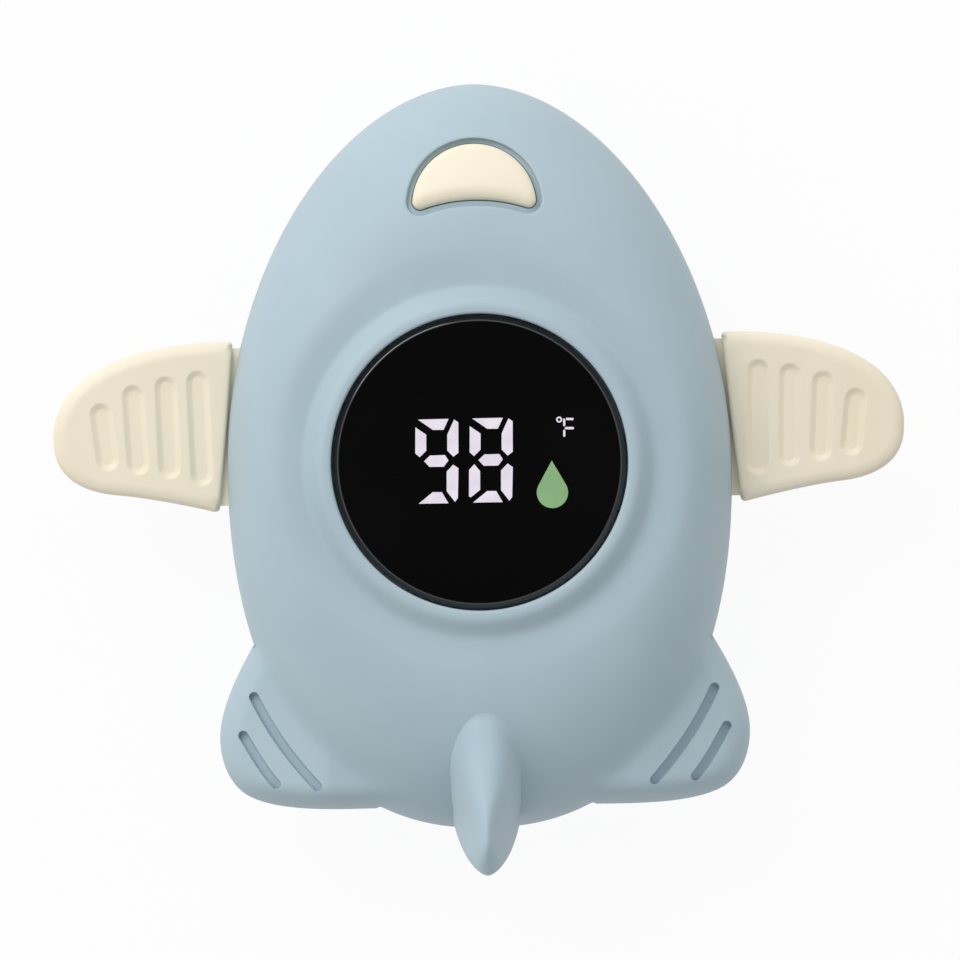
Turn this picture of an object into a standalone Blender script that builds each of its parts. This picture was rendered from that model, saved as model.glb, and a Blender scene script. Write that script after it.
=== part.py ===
"""Baby bath thermometer in the shape of a small plane, in metres, with +Z up and its nose towards +Y.

The floating body is two moulded shells that meet on a parting plane. Everything is drawn round the display's
axis, where the body is widest, and hangs from one empty that puts the whole object's middle at the origin.
The flat belly lies on z = 0.
"""

from math import acos, asin, atan2, cos, hypot, pi, radians, sin, sqrt

import bmesh
import bpy
from mathutils import Matrix

MM = 0.001

# Clearances
GAP = 0.3 * MM            # between two pieces that touch or slide
OVERLAP = 1.0 * MM        # how far a tool runs past what it joins or cuts
SEAM_STEP = 0.05 * MM     # bosses and tailplanes stop this much short of the shells' rims

# Outline of the body, seen from above: two half superellipses that share their width
HALF_WIDTH = 32.17 * MM
NOSE_LENGTH = 48.22 * MM
TAIL_LENGTH = 46.63 * MM
NOSE_POWER = 1.893
TAIL_POWER = 2.274

# Heights of the body
PARTING = 16.0 * MM       # plane on which the shells meet
RISE = 17.5 * MM          # from the parting plane to the top of the body
WALL = 2.0 * MM
CROWN_POWER = 2.2
BELLY_SHARE = 0.68        # flat part of the belly, as a share of the outline
CROWN_ROOT = 0.5 * MM     # depth under the dome at which what hangs inside it starts
BAY_ROOT = 1.0 * MM       # heights in the floor at which what stands on it starts
LEDGE_ROOT = 1.2 * MM
PAD_ROOT = 1.4 * MM
TUBE_ROOT = 1.5 * MM

# Rim flanges and the seal that they squeeze
LAND_WIDTH = 8.6 * MM
LAND_HEIGHT = 3.0 * MM
SEAL_INSET = 4.5 * MM
SEAL_WIDTH = 1.6 * MM
SEAL_HEIGHT = 1.8 * MM

# Display window and the raised ring round it
LENS_RADIUS = 18.49 * MM
LENS_THICKNESS = 1.6 * MM
LENS_RISE = 0.7 * MM      # top of the window above the top of the body
RING_RADIUS = 20.3 * MM
RING_HALF_WIDTH = 1.9 * MM
RING_HEIGHT = 1.7 * MM
GASKET_THICKNESS = 0.8 * MM
LEDGE_THICKNESS = 1.6 * MM
LEDGE_RADIUS = 16.3 * MM

# Crescent button in the nose
BUTTON_ROUND = 7.87 * MM  # radius of the crescent's front
BUTTON_HOLLOW = 20.4 * MM  # radius of its hollow rear side
BUTTON_DISTANCE = 32.5 * MM  # from the display's axis to the front's centre
BUTTON_WAIST = 33.18 * MM  # from the display's axis to the middle of the hollow side
BUTTON_CORNER = 1.0 * MM
BUTTON_GAP = 0.72 * MM    # width of the groove round the button
GROOVE_DEPTH = 1.2 * MM
BUTTON_PROUD = 0.7 * MM
CAP_ROUNDING = ((0.0, None), (0.0, 0.35), (0.35, 0.75), (1.0, 0.97), (2.2, 1.0))  # inset in mm, share of rise
BUTTON_TRAVEL = 0.8 * MM
BUTTON_POST = 36.2 * MM   # from the display's axis to the post
POST_RADIUS = 1.9 * MM
WELL_WALL = 1.5 * MM
WELL_FLOOR = 1.2 * MM
WELL_BOTTOM = 24.3 * MM
GROMMET_WIDTH = 0.8 * MM
GROMMET_HEIGHT = 0.8 * MM

# Wings
WING_THICKNESS = 6.0 * MM
WING_TAPER = 0.28         # share of the thickness lost at the tip
WING_EDGE = 1.3 * MM
WING_SWEEP = 0.0984       # how fast the root runs outward, towards the tail
WING_FRONT = 16.05 * MM
WING_REAR = -5.8 * MM
TENON_THICKNESS = 3.4 * MM
TENON_DEPTH = 3.0 * MM
TENON_INSET = 0.9 * MM
WING_SLOT_WIDTH = 1.4 * MM
WING_SLOT_DEPTH = 0.7 * MM
WING_FRONT_STEPS = 12
WING_TIP_STEPS = 7
WING_REAR_STEPS = 5

# Points of a wing, in millimetres outward from the body's widest line and towards the nose
WING_FRONT_CURVE = ((23.87, 15.93), (22.05, 3.9))
WING_TIP = (22.05, 3.44)
WING_TIP_CURVE = ((22.05, -0.5), (19.03, -2.8))
WING_BEND = (13.93, -3.3)
WING_REAR_CURVE = ((10.83, -3.6), (5.33, -4.7))
WING_SLOTS = (((15.93, 8.15), (15.23, 0.6)), ((11.8, 10.4), (11.33, 0.0)),
              ((7.61, 11.45), (7.33, -0.6)), ((3.56, 12.06), (3.23, -1.55)))

# Tailplanes
TAILPLANE_THICKNESS = 16.4 * MM  # at the root
TAILPLANE_TAPER = 0.46    # share of the thickness lost at the tip
TAILPLANE_EDGE = 3.0 * MM
TAILPLANE_WIDTH = 13.8 * MM  # from where the taper starts to the tip
TAILPLANE_DEPTH = 3.4 * MM   # how far it runs into the body
TAILPLANE_WALL = 2.4 * MM    # over and under its hollow
TAILPLANE_WEB = 0.8 * MM     # between the body's side and its hollow
TAILPLANE_STEPS = 5
TAIL_SLOT_WIDTH = 1.15 * MM
TAIL_SLOT_DEPTH = 1.1 * MM
ROUND_EDGE = ((0.0, 0.0), (0.1, 0.44), (0.3, 0.71), (0.6, 0.92), (1.0, 1.0))  # inset and height, as shares

# Points of a tailplane, in millimetres outward from the body's widest line and forward from its tail end
TAILPLANE_START = (-4.17, 26.13)
TAILPLANE_SIDE_CURVE = ((-1.97, 22.33), (1.63, 16.63))
TAILPLANE_TIP = (1.63, 11.93)
TAILPLANE_CORNER_CURVE = ((1.63, 9.25), (0.61, 6.0))
TAILPLANE_CORNER = (-2.03, 4.59)
TAILPLANE_REAR_CURVE = ((-6.03, 2.45), (-15.67, 1.03))
TAILPLANE_END = (-20.67, 5.13)
TAIL_SLOTS = (((-2.57, 17.93), (-4.57, 14.03), (-7.17, 10.13), (-10.87, 5.63)),
              ((-1.07, 13.03), (-3.17, 9.53), (-5.57, 6.03)))

# Fin over the tail
FIN_OVERHANG = 5.85 * MM
FIN_HALF_WIDTH = 4.6 * MM
FIN_HEIGHT = 8.5 * MM     # above the top of the body
FIN_FRONT = 31.5 * MM     # from the display's axis to the fin's front end
FIN_TAIL_POWER = 2.3      # how late and how bluntly it narrows behind its widest place
FIN_TAIL_FULL = 0.6
FIN_TOP_POWER = 1.2       # how softly its ridge, underside and widest line rise
FIN_LOW_POWER = 1.4
FIN_SEAT_POWER = 0.6
FIN_ROOT = 1.7 * MM       # depths of its underside and widest line under the dome
FIN_SEAT = 0.6 * MM
FIN_WIDEST = 0.42         # places along the fin, as shares of its length
FIN_LEAVE = 0.62          # where its underside leaves the body
FIN_PEAK = 0.86
FIN_ROUND = 0.8           # where its tip starts to round off
FIN_DROP = 2.2 * MM       # from the peak to the tip
FIN_TIP_HEIGHT = 2.6 * MM
FIN_SINK = 1.0 * MM       # its ridge starts this far under the dome
FIN_WALL = 1.8 * MM

# Inside: board, switch and display
BOARD_THICKNESS = 1.6 * MM
BOARD_RADIUS = 20.0 * MM
BOARD_TONGUE_WIDTH = 14.0 * MM
BOARD_TONGUE_END = 40.2 * MM
BOARD_POST_COUNT = 3
BOARD_POST_RADIUS = 1.2 * MM
SWITCH_SIZE = 6.0 * MM
SWITCH_STEM_RADIUS = 1.5 * MM
SWITCH_BORE_DEPTH = 1.2 * MM
MODULE_LENGTH = 26.0 * MM
MODULE_WIDTH = 16.0 * MM
CHIP_SIZE = 8.0 * MM
CHIP_HEIGHT = 1.5 * MM

# Figures behind the window
DIGIT_WIDTH = 5.6 * MM
DIGIT_HEIGHT = 10.9 * MM
DIGIT_LEFT = -8.2 * MM
DIGIT_PITCH = 6.85 * MM
DIGIT_MIDDLE = 0.15 * MM
STROKE = 1.45 * MM
STROKE_GAP = 0.28 * MM
DROP_RADIUS = 1.98 * MM
DROP_X = 9.14 * MM
DROP_Y = -4.03 * MM
DROP_TIP = 4.03 * MM
FIGURE_DEPTH = 0.6 * MM

# Batteries and their bay, with the door under them
CELL_RADIUS = 5.25 * MM
CELL_BODY = 43.3 * MM
CELL_NUB = 1.2 * MM
CELL_NUB_RADIUS = 1.9 * MM
CELL_SPACING = 11.8 * MM
SPRING_LENGTH = 3.6 * MM
SPRING_WIDE = 3.4 * MM
SPRING_NARROW = 2.0 * MM
SPRING_TURNS = 2.5
SPRING_STEPS = 16
PLATE_THICKNESS = 0.5 * MM
BAY_REAR = -27.0 * MM
BAY_WALL = 1.3 * MM
DOOR_THICKNESS = 1.8 * MM
DOOR_SEAL_HEIGHT = 0.8 * MM
DOOR_SEAL_WIDTH = 1.0 * MM
DOOR_SEAL_INSET = 0.8 * MM
DOOR_LEDGE = 2.3 * MM
DOOR_CORNER = 4.0 * MM
DOOR_SCREW_MARGIN = 3.4 * MM
DOOR_EAR = 3.8 * MM
DOOR_SHOULDER = 0.4 * MM  # slope of the door's rear edge towards the ear

# Screws
CASE_SCREWS = (("front", 0.384 * NOSE_LENGTH), ("rear", -0.504 * TAIL_LENGTH))
CASE_SCREW_SHARE = 0.582  # distance of the case screws from the middle plane, as a share of HALF_WIDTH
SCREW_RADIUS = 1.1 * MM
SCREW_HEAD_RADIUS = 2.5 * MM
SCREW_HEAD_HEIGHT = 1.5 * MM
SCREW_SEAT = 10.9 * MM    # height of the ledge that a case screw's head pulls on
SCREW_BITE = 7.0 * MM     # length in the upper boss
BOSS_WALL = 1.9 * MM
WELL_TUBE_WALL = 1.0 * MM
DOOR_SCREW_TOP = 8.0 * MM
DOOR_SCREW_HEAD = 0.6 * MM
DOOR_SCREW_LOW = 0.2 * MM

# Temperature probe in the belly
PROBE_DISTANCE = 33.5 * MM
PROBE_RADIUS = 3.2 * MM
PROBE_TIP = 0.25 * MM
PROBE_WALL = 0.4 * MM
PROBE_FLANGE = 1.4 * MM
PROBE_SEAL_HEIGHT = 0.8 * MM
PROBE_SEAT = 3.6 * MM
THERMISTOR_RADIUS = 1.0 * MM
SENSOR_LEAD_RADIUS = 0.35 * MM
BATTERY_LEAD_RADIUS = 0.5 * MM
SPRING_WIRE = 0.35 * MM
CONTACT_HALF_WIDTH = 4.0 * MM
CONTACT_HALF_HEIGHT = 4.0 * MM
CONTACT_TAB = 1.5 * MM

# How finely the forms are divided
BODY_STEPS = 40
ROUND_STEPS = 16
SCREW_STEPS = 12
CROWN_STEPS = 7
BELLY_STEPS = 6
FIN_STEPS = 10
FIN_RING_STEPS = 14

SIDES = (("left", -1), ("right", 1))

# Sizes that follow from those above
DISPLAY_Y = (TAIL_LENGTH + FIN_OVERHANG - NOSE_LENGTH) / 2
BODY_TOP = PARTING + RISE
VALLEY_RADIUS = RING_RADIUS + RING_HALF_WIDTH
LENS_OPENING = LENS_RADIUS + GAP
LENS_TOP = BODY_TOP + LENS_RISE
LENS_BOTTOM = LENS_TOP - LENS_THICKNESS
LEDGE_TOP = LENS_BOTTOM - GASKET_THICKNESS - 2 * GAP
LEDGE_LOW = LEDGE_TOP - LEDGE_THICKNESS
BOARD_LOW = PARTING + LAND_HEIGHT + GAP
BOARD_TOP = BOARD_LOW + BOARD_THICKNESS
MODULE_LOW = BOARD_TOP + GAP
MODULE_TOP = LENS_BOTTOM - GAP
WELL_TOP = WELL_BOTTOM + WELL_FLOOR
POST_LOW = WELL_BOTTOM - GAP
SWITCH_LOW = BOARD_TOP + GAP
SWITCH_TOP = POST_LOW - BUTTON_TRAVEL - GAP
SWITCH_BORE_LOW = SWITCH_TOP - SWITCH_BORE_DEPTH
STEM_LOW = SWITCH_BORE_LOW + BUTTON_TRAVEL + GAP
STEM_TOP = POST_LOW - GAP
GROMMET_LOW = WELL_TOP + GAP
CAP_LOW = GROMMET_LOW + GROMMET_HEIGHT + BUTTON_TRAVEL + GAP
DOOR_SEAL_LOW = DOOR_THICKNESS + GAP
DOOR_RECESS = DOOR_SEAL_LOW + DOOR_SEAL_HEIGHT + GAP
CELL_AXIS = DOOR_THICKNESS + GAP + CELL_RADIUS
BAY_TOP = CELL_AXIS + CELL_RADIUS + GAP
BAY_HALF_WIDTH = CELL_SPACING / 2 + CELL_RADIUS + 1.5 * GAP
CELL_REAR = BAY_REAR + PLATE_THICKNESS + 2 * GAP
BAY_FRONT = CELL_REAR + SPRING_LENGTH + CELL_BODY + CELL_NUB + PLATE_THICKNESS + 3 * GAP
DOOR_HALF_WIDTH = BAY_HALF_WIDTH + DOOR_LEDGE - GAP
DOOR_FRONT = BAY_FRONT + DOOR_LEDGE - GAP
DOOR_REAR = BAY_REAR - DOOR_LEDGE + GAP
DOOR_SCREW_Y = BAY_REAR - DOOR_SCREW_MARGIN
PILOT_RADIUS = SCREW_RADIUS + GAP
BOSS_RADIUS = PILOT_RADIUS + BOSS_WALL
WELL_RADIUS = SCREW_HEAD_RADIUS + GAP

bpy_objects = bpy.data.objects
for old in list(bpy_objects):
    bpy_objects.remove(old)

model = bpy.data.collections.new("bath_thermometer")
cutters = bpy.data.collections.new("cutters")
bpy.context.scene.collection.children.link(model)
bpy.context.scene.collection.children.link(cutters)


def new_material(name, colour, roughness, metallic=0.0):
    material = bpy.data.materials.new(name)
    material.use_nodes = True
    shader = material.node_tree.nodes["Principled BSDF"]
    shader.inputs["Base Color"].default_value = (*colour, 1)
    shader.inputs["Roughness"].default_value = roughness
    shader.inputs["Metallic"].default_value = metallic
    material.diffuse_color = (*colour, 1)
    return material


BLUE = new_material("blue_soft_touch", (0.40, 0.52, 0.58), 0.55)
CREAM = new_material("cream_plastic", (0.83, 0.75, 0.58), 0.5)
BLACK = new_material("black_window", (0.004, 0.004, 0.005), 0.08)
WHITE = new_material("white_plastic", (0.80, 0.80, 0.80), 0.5)
DARK = new_material("dark_rubber", (0.03, 0.03, 0.035), 0.7)
CLEAR_RUBBER = new_material("grey_silicone", (0.35, 0.37, 0.38), 0.6)
GREEN = new_material("board_green", (0.02, 0.16, 0.07), 0.5)
STEEL = new_material("steel", (0.62, 0.62, 0.64), 0.25, 1.0)
CELL = new_material("cell_jacket", (0.10, 0.12, 0.16), 0.35, 0.3)
RED = new_material("red_lead", (0.45, 0.02, 0.02), 0.5)

middle = bpy_objects.new("body_middle", None)
middle.location = (0, DISPLAY_Y, 0)
model.objects.link(middle)
button_axis = bpy_objects.new("button_axis", None)
button_axis.location = (0, BUTTON_POST, CAP_LOW)
button_axis.parent = middle
model.objects.link(button_axis)


def add_object(name, mesh, material=None, parent=middle):
    """Puts a mesh in the model, or among the cutters if it has no material."""
    if isinstance(mesh, bmesh.types.BMesh):
        bmesh.ops.recalc_face_normals(mesh, faces=mesh.faces)
        data = bpy.data.meshes.new(name)
        mesh.to_mesh(data)
        mesh.free()
        mesh = data
    item = bpy_objects.new(name, mesh)
    item.parent = parent
    if material is None:
        item.hide_render = True
        item.display_type = "WIRE"
        cutters.objects.link(item)
    else:
        mesh.materials.clear()
        mesh.materials.append(material)
        model.objects.link(item)
    return item


def soften(item, angle=35):
    item.data.shade_smooth()
    item.data.set_sharp_from_angle(angle=radians(angle))
    return item


def boolean(item, tools, operation="DIFFERENCE"):
    for tool in tools:
        change = item.modifiers.new(tool.name, "BOOLEAN")
        change.operation = operation
        change.object = tool
        change.solver = "EXACT"
    return item


def mesh_of(curve_object):
    """Mesh of a curve object, with its caps welded on; the curve itself is removed."""
    bpy.context.view_layer.update()
    view = bpy.context.evaluated_depsgraph_get()
    data = bpy.data.meshes.new_from_object(curve_object.evaluated_get(view))
    data.transform(curve_object.matrix_world)
    mesh = bmesh.new()
    mesh.from_mesh(data)
    bmesh.ops.remove_doubles(mesh, verts=mesh.verts, dist=0.001 * MM)
    bpy_objects.remove(curve_object)
    return mesh


def prism(points, low, high):
    """Upright prism over a closed outline of (x, y) points."""
    curve = bpy.data.curves.new("outline", "CURVE")
    curve.dimensions = "2D"
    curve.fill_mode = "BOTH"
    curve.extrude = (high - low) / 2
    line = curve.splines.new("POLY")
    line.points.add(len(points) - 1)
    for place, (x, y) in zip(line.points, points):
        place.co = (x, y, 0, 1)
    line.use_cyclic_u = True
    flat = bpy_objects.new("outline", curve)
    flat.location = (0, 0, (low + high) / 2)
    cutters.objects.link(flat)
    mesh = mesh_of(flat)
    bmesh.ops.dissolve_limit(mesh, angle_limit=radians(0.1), verts=mesh.verts, edges=mesh.edges)
    return mesh


def join_pair(mesh, row, after):
    """Faces between two closed rows of points, without the corners that the rows share."""
    for index in range(len(row)):
        follow = (index + 1) % len(row)
        corners = list(dict.fromkeys([row[index], row[follow], after[follow], after[index]]))
        if len(corners) > 2:
            mesh.faces.new(corners)


def lofted(section, steps=BODY_STEPS):
    """Mesh lofted round Z through one closed section of (radius, height) points for each direction."""
    mesh = bmesh.new()
    rows = []
    shared = {}
    for step in range(steps):
        angle = 2 * pi * step / steps
        row = []
        for index, (radius, height) in enumerate(section(angle)):
            if radius == 0:
                if index not in shared:
                    shared[index] = mesh.verts.new((0, 0, height))
                row.append(shared[index])
            else:
                row.append(mesh.verts.new((radius * cos(angle), radius * sin(angle), height)))
        rows.append(row)
    for row, after in zip(rows, rows[1:] + rows[:1]):
        join_pair(mesh, row, after)
    bmesh.ops.triangulate(mesh, faces=mesh.faces)
    return mesh


def turned(profile, steps=ROUND_STEPS):
    """Mesh of a closed profile of (radius, height) points turned about Z."""
    return lofted(lambda angle: profile, steps)


def moved(mesh, x=0.0, y=0.0, z=0.0):
    bmesh.ops.translate(mesh, verts=mesh.verts, vec=(x, y, z))
    return mesh


def cylinder(radius, low, high, x=0.0, y=0.0, steps=ROUND_STEPS):
    mesh = bmesh.new()
    bmesh.ops.create_cone(
        mesh, cap_ends=True, segments=steps, radius1=radius, radius2=radius, depth=high - low,
        matrix=Matrix.Translation((x, y, (low + high) / 2)))
    return mesh


def box(x0, x1, y0, y1, z0, z1):
    mesh = bmesh.new()
    size = Matrix.Diagonal((x1 - x0, y1 - y0, z1 - z0, 1))
    place = Matrix.Translation(((x0 + x1) / 2, (y0 + y1) / 2, (z0 + z1) / 2))
    bmesh.ops.create_cube(mesh, size=1, matrix=place @ size)
    return mesh


def tube(name, route, radius, material):
    """Round wire along a route of points."""
    curve = bpy.data.curves.new(name, "CURVE")
    curve.dimensions = "3D"
    curve.bevel_depth = radius
    curve.bevel_resolution = 1
    curve.use_fill_caps = True
    line = curve.splines.new("POLY")
    line.points.add(len(route) - 1)
    for place, point in zip(line.points, route):
        place.co = (*point, 1)
    wire = bpy_objects.new(name, curve)
    cutters.objects.link(wire)
    return soften(add_object(name, mesh_of(wire), material))


def arc(centre, radius, start, stop, steps):
    """Points on an arc from one angle to another."""
    spread = [start + (stop - start) * step / steps for step in range(steps + 1)]
    return [(centre[0] + radius * cos(angle), centre[1] + radius * sin(angle)) for angle in spread]


def cubic(start, leave, arrive, end, steps):
    """Points on a cubic curve, without its last one."""
    points = []
    for step in range(steps):
        t = step / steps
        weights = ((1 - t) ** 3, 3 * (1 - t) ** 2 * t, 3 * (1 - t) * t * t, t ** 3)
        corners = (start, leave, arrive, end)
        points.append(tuple(sum(w * c[axis] for w, c in zip(weights, corners)) for axis in (0, 1)))
    return points


def capsule(route, width):
    """Outline of a slot with round ends along a route."""
    left, right = [], []
    for index, (x, y) in enumerate(route):
        before = route[max(index - 1, 0)]
        after = route[min(index + 1, len(route) - 1)]
        heading = atan2(after[1] - before[1], after[0] - before[0])
        left.append((x - width / 2 * sin(heading), y + width / 2 * cos(heading)))
        right.append((x + width / 2 * sin(heading), y - width / 2 * cos(heading)))
        if index == 0:
            start_heading = heading
    end = arc(route[-1], width / 2, heading + pi / 2, heading - pi / 2, 4)[1:-1]
    start = arc(route[0], width / 2, start_heading - pi / 2, start_heading - 3 * pi / 2, 4)[1:-1]
    return left + end + right[::-1] + start


def rounded_box(half_width, rear, front, corner):
    """Outline of a rectangle with round corners."""
    points = []
    for x, y, start in ((1, 1, 0), (-1, 1, 90), (-1, -1, 180), (1, -1, 270)):
        edge = front if y > 0 else rear
        centre = (x * (half_width - corner), edge - y * corner)
        points += arc(centre, corner, radians(start), radians(start + 90), 4)
    return points


# Form of the body

def body_reach(angle):
    """Distance from the display's axis to the body's outline in one direction."""
    length, power = (NOSE_LENGTH, NOSE_POWER) if sin(angle) > 0 else (TAIL_LENGTH, TAIL_POWER)
    across = abs(cos(angle)) / HALF_WIDTH
    along = abs(sin(angle)) / length
    return (across ** power + along ** power) ** (-1 / power)


def half_width_at(y):
    length, power = (NOSE_LENGTH, NOSE_POWER) if y > 0 else (TAIL_LENGTH, TAIL_POWER)
    return HALF_WIDTH * (1 - (abs(y) / length) ** power) ** (1 / power)


def crown_point(reach, rise, lift):
    """A point of the upper dome, where lift runs from 0 at the outline to 90 degrees at the top."""
    share = max(cos(lift), 0.0) ** (2 / CROWN_POWER)
    return VALLEY_RADIUS + (reach - VALLEY_RADIUS) * share, PARTING + rise * sin(lift)


def crown_height(x, y):
    """Height of the body's upper surface over a point outside the display's ring."""
    reach = body_reach(atan2(y, x))
    share = (hypot(x, y) - VALLEY_RADIUS) / (reach - VALLEY_RADIUS)
    share = min(max(share, 0.0), 1.0)
    return PARTING + RISE * sqrt(1 - share ** CROWN_POWER)


def belly_point(reach, low, share):
    """A point of the hull's side, where share runs from 0 at the flat belly to 1 at the rim."""
    turn = share * pi / 2
    radius = reach * (BELLY_SHARE + (1 - BELLY_SHARE) * sin(turn))
    return radius, low + (PARTING - low) * (1 - cos(turn))


def seal_section(angle, grow=0.0):
    """Section of the seal between the shells, grown for the groove that holds it."""
    outer = body_reach(angle) - SEAL_INSET + grow
    inner = body_reach(angle) - SEAL_INSET - SEAL_WIDTH - grow
    low, high = PARTING - SEAL_HEIGHT / 2 - grow, PARTING + SEAL_HEIGHT / 2 + grow
    return [(outer, low), (outer, high), (inner, high), (inner, low)]


def groove(angle):
    """The seal's groove in a section: its outer and inner side and its depth."""
    (outer, low), _, (inner, high), _ = seal_section(angle, GAP)
    return outer, inner, low, high


def upper_section(angle):
    """Section of the upper shell, from the window's ledge over the ring to the rim and back."""
    reach = body_reach(angle)
    rim = PARTING + GAP / 2
    inner_reach = reach - WALL
    inner_rise = RISE - WALL
    points = [(LEDGE_RADIUS, LEDGE_LOW), (LEDGE_RADIUS, LEDGE_TOP), (LENS_OPENING, LEDGE_TOP)]
    for turn in (150, 115, 80, 45):
        radius = RING_RADIUS + RING_HALF_WIDTH * cos(radians(turn))
        points.append((max(radius, LENS_OPENING), BODY_TOP + RING_HEIGHT * sin(radians(turn))))
    for step in range(CROWN_STEPS):
        points.append(crown_point(reach, RISE, pi / 2 * (1 - step / CROWN_STEPS)))
    points.append((reach, rim))
    outer, inner, low, high = groove(angle)
    points += [(outer, rim), (outer, high), (inner, high), (inner, rim)]
    points += [(reach - LAND_WIDTH, rim), (reach - LAND_WIDTH, PARTING + LAND_HEIGHT)]
    first = asin(LAND_HEIGHT / inner_rise)
    for step in range(CROWN_STEPS - 1):
        lift = first + (pi / 2 - first) * step / (CROWN_STEPS - 2)
        points.append(crown_point(inner_reach, inner_rise, lift))
    points.append((LENS_OPENING + WALL, LEDGE_LOW))
    return points


def lower_section(angle):
    """Section of the lower shell, from the middle of the belly out to the rim and back inside."""
    reach = body_reach(angle)
    rim = PARTING - GAP / 2
    points = [(0, 0)]
    for step in range(BELLY_STEPS):
        points.append(belly_point(reach, 0, step / BELLY_STEPS))
    points.append((reach, rim))
    outer, inner, low, high = groove(angle)
    points += [(outer, rim), (outer, low), (inner, low), (inner, rim)]
    points += [(reach - LAND_WIDTH, rim), (reach - LAND_WIDTH, PARTING - LAND_HEIGHT)]
    last = acos(LAND_HEIGHT / (PARTING - WALL)) / (pi / 2)
    for step in range(BELLY_STEPS):
        points.append(belly_point(reach - WALL, WALL, last * (1 - step / (BELLY_STEPS - 1))))
    points.append((0, WALL))
    return points


# Outlines

def crescent(grow=0.0):
    """Outline of the button, grown or shrunk evenly."""
    front = BUTTON_ROUND + grow
    hollow = BUTTON_HOLLOW - grow
    corner = max(BUTTON_CORNER + grow, 0.2 * MM)
    front_y = BUTTON_DISTANCE
    hollow_y = BUTTON_WAIST - BUTTON_HOLLOW
    near = front - corner
    far = hollow + corner
    apart = front_y - hollow_y
    along = (far ** 2 - near ** 2 + apart ** 2) / (2 * apart)
    corner_y = hollow_y + along
    corner_x = sqrt(far ** 2 - along ** 2)
    tilt = atan2(corner_y - front_y, corner_x)
    lean = atan2(corner_y - hollow_y, corner_x)
    points = arc((0, front_y), front, tilt, pi - tilt, 18)
    points += arc((-corner_x, corner_y), corner, pi - tilt, 2 * pi - lean, 4)[1:]
    points += arc((0, hollow_y), hollow, pi - lean, lean, 8)[1:]
    points += arc((corner_x, corner_y), corner, lean - pi, tilt, 4)[1:-1]
    return points


def wing_root(y):
    """Distance of a wing's root face from the middle plane; the root is straight and clears the body."""
    steps = 40
    stations = [WING_REAR + (WING_FRONT - WING_REAR) * step / steps for step in range(steps + 1)]
    base = max(half_width_at(place) + WING_SWEEP * place for place in stations) + GAP
    return base - WING_SWEEP * y


def beside_body(point):
    return HALF_WIDTH + point[0] * MM, point[1] * MM


def wing_outline(side):
    """Outline of a wing: a swept front edge, a round tip and a nearly straight rear edge."""
    front = (wing_root(WING_FRONT), WING_FRONT)
    rear = (wing_root(WING_REAR), WING_REAR)
    tip, bend = beside_body(WING_TIP), beside_body(WING_BEND)
    points = cubic(front, *map(beside_body, WING_FRONT_CURVE), tip, WING_FRONT_STEPS)
    points += cubic(tip, *map(beside_body, WING_TIP_CURVE), bend, WING_TIP_STEPS)
    points += cubic(bend, *map(beside_body, WING_REAR_CURVE), rear, WING_REAR_STEPS)
    points.append(rear)
    return [(side * x, y) for x, y in points]


def tenon_outline(side, grow=0.0):
    """Outline of the tongue that a wing pushes into the body."""
    front = WING_FRONT - TENON_INSET + grow
    rear = WING_REAR + TENON_INSET - grow
    depth = TENON_DEPTH + grow
    reach = 2 * OVERLAP
    corners = [(wing_root(front) + reach, front), (wing_root(front) - depth, front),
               (wing_root(rear) - depth, rear), (wing_root(rear) + reach, rear)]
    return [(side * x, y) for x, y in corners]


def wing_slots(side):
    """Centre lines of a wing's slots, from the tip inward."""
    inner = WING_SLOT_WIDTH / 2
    lines = []
    for front, rear in WING_SLOTS:
        (x0, y0), (x1, y1) = beside_body(front), beside_body(rear)
        lines.append([(side * x0, y0 - inner), (side * x1, y1 + inner)])
    return lines


def beside_tail(point):
    return HALF_WIDTH + point[0] * MM, point[1] * MM - TAIL_LENGTH


def drawn_in(line, inset):
    """An open line moved to its right; the inset fades to nothing over the three points at each end."""
    moved_line = []
    for index, (x, y) in enumerate(line):
        before = line[max(index - 1, 0)]
        after = line[min(index + 1, len(line) - 1)]
        heading = atan2(after[1] - before[1], after[0] - before[0])
        share = min(index / 3, (len(line) - 1 - index) / 3, 1) * inset
        moved_line.append((x + share * sin(heading), y - share * cos(heading)))
    return moved_line


def tailplane_outline(side, inset=0.0):
    """Outline of a tailplane with its free edge drawn in by an inset; its inner side lies inside the body."""
    start, outer, corner, end = map(beside_tail, (
        TAILPLANE_START, TAILPLANE_TIP, TAILPLANE_CORNER, TAILPLANE_END))
    points = cubic(start, *map(beside_tail, TAILPLANE_SIDE_CURVE), outer, TAILPLANE_STEPS)
    points += cubic(outer, *map(beside_tail, TAILPLANE_CORNER_CURVE), corner, TAILPLANE_STEPS)
    points += cubic(corner, *map(beside_tail, TAILPLANE_REAR_CURVE), end, TAILPLANE_STEPS)
    points = drawn_in(points + [end], inset)
    first, last = atan2(end[1], end[0]), atan2(start[1], start[0])
    for step in range(1, TAILPLANE_STEPS):
        angle = first + (last - first) * step / TAILPLANE_STEPS
        reach = body_reach(angle) - TAILPLANE_DEPTH
        points.append((reach * cos(angle), reach * sin(angle)))
    return [(side * x, y) for x, y in points]


def tail_slots(side):
    """Centre lines of a tailplane's two slots."""
    return [[(side * x, y) for x, y in map(beside_tail, line)] for line in TAIL_SLOTS]


def drop_outline():
    """A drop: a circle with a point above it."""
    lean = asin(DROP_RADIUS / DROP_TIP)
    points = arc((DROP_X, DROP_Y), DROP_RADIUS, pi - lean, 2 * pi + lean, 14)
    return points + [(DROP_X, DROP_Y + DROP_TIP)]


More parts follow.
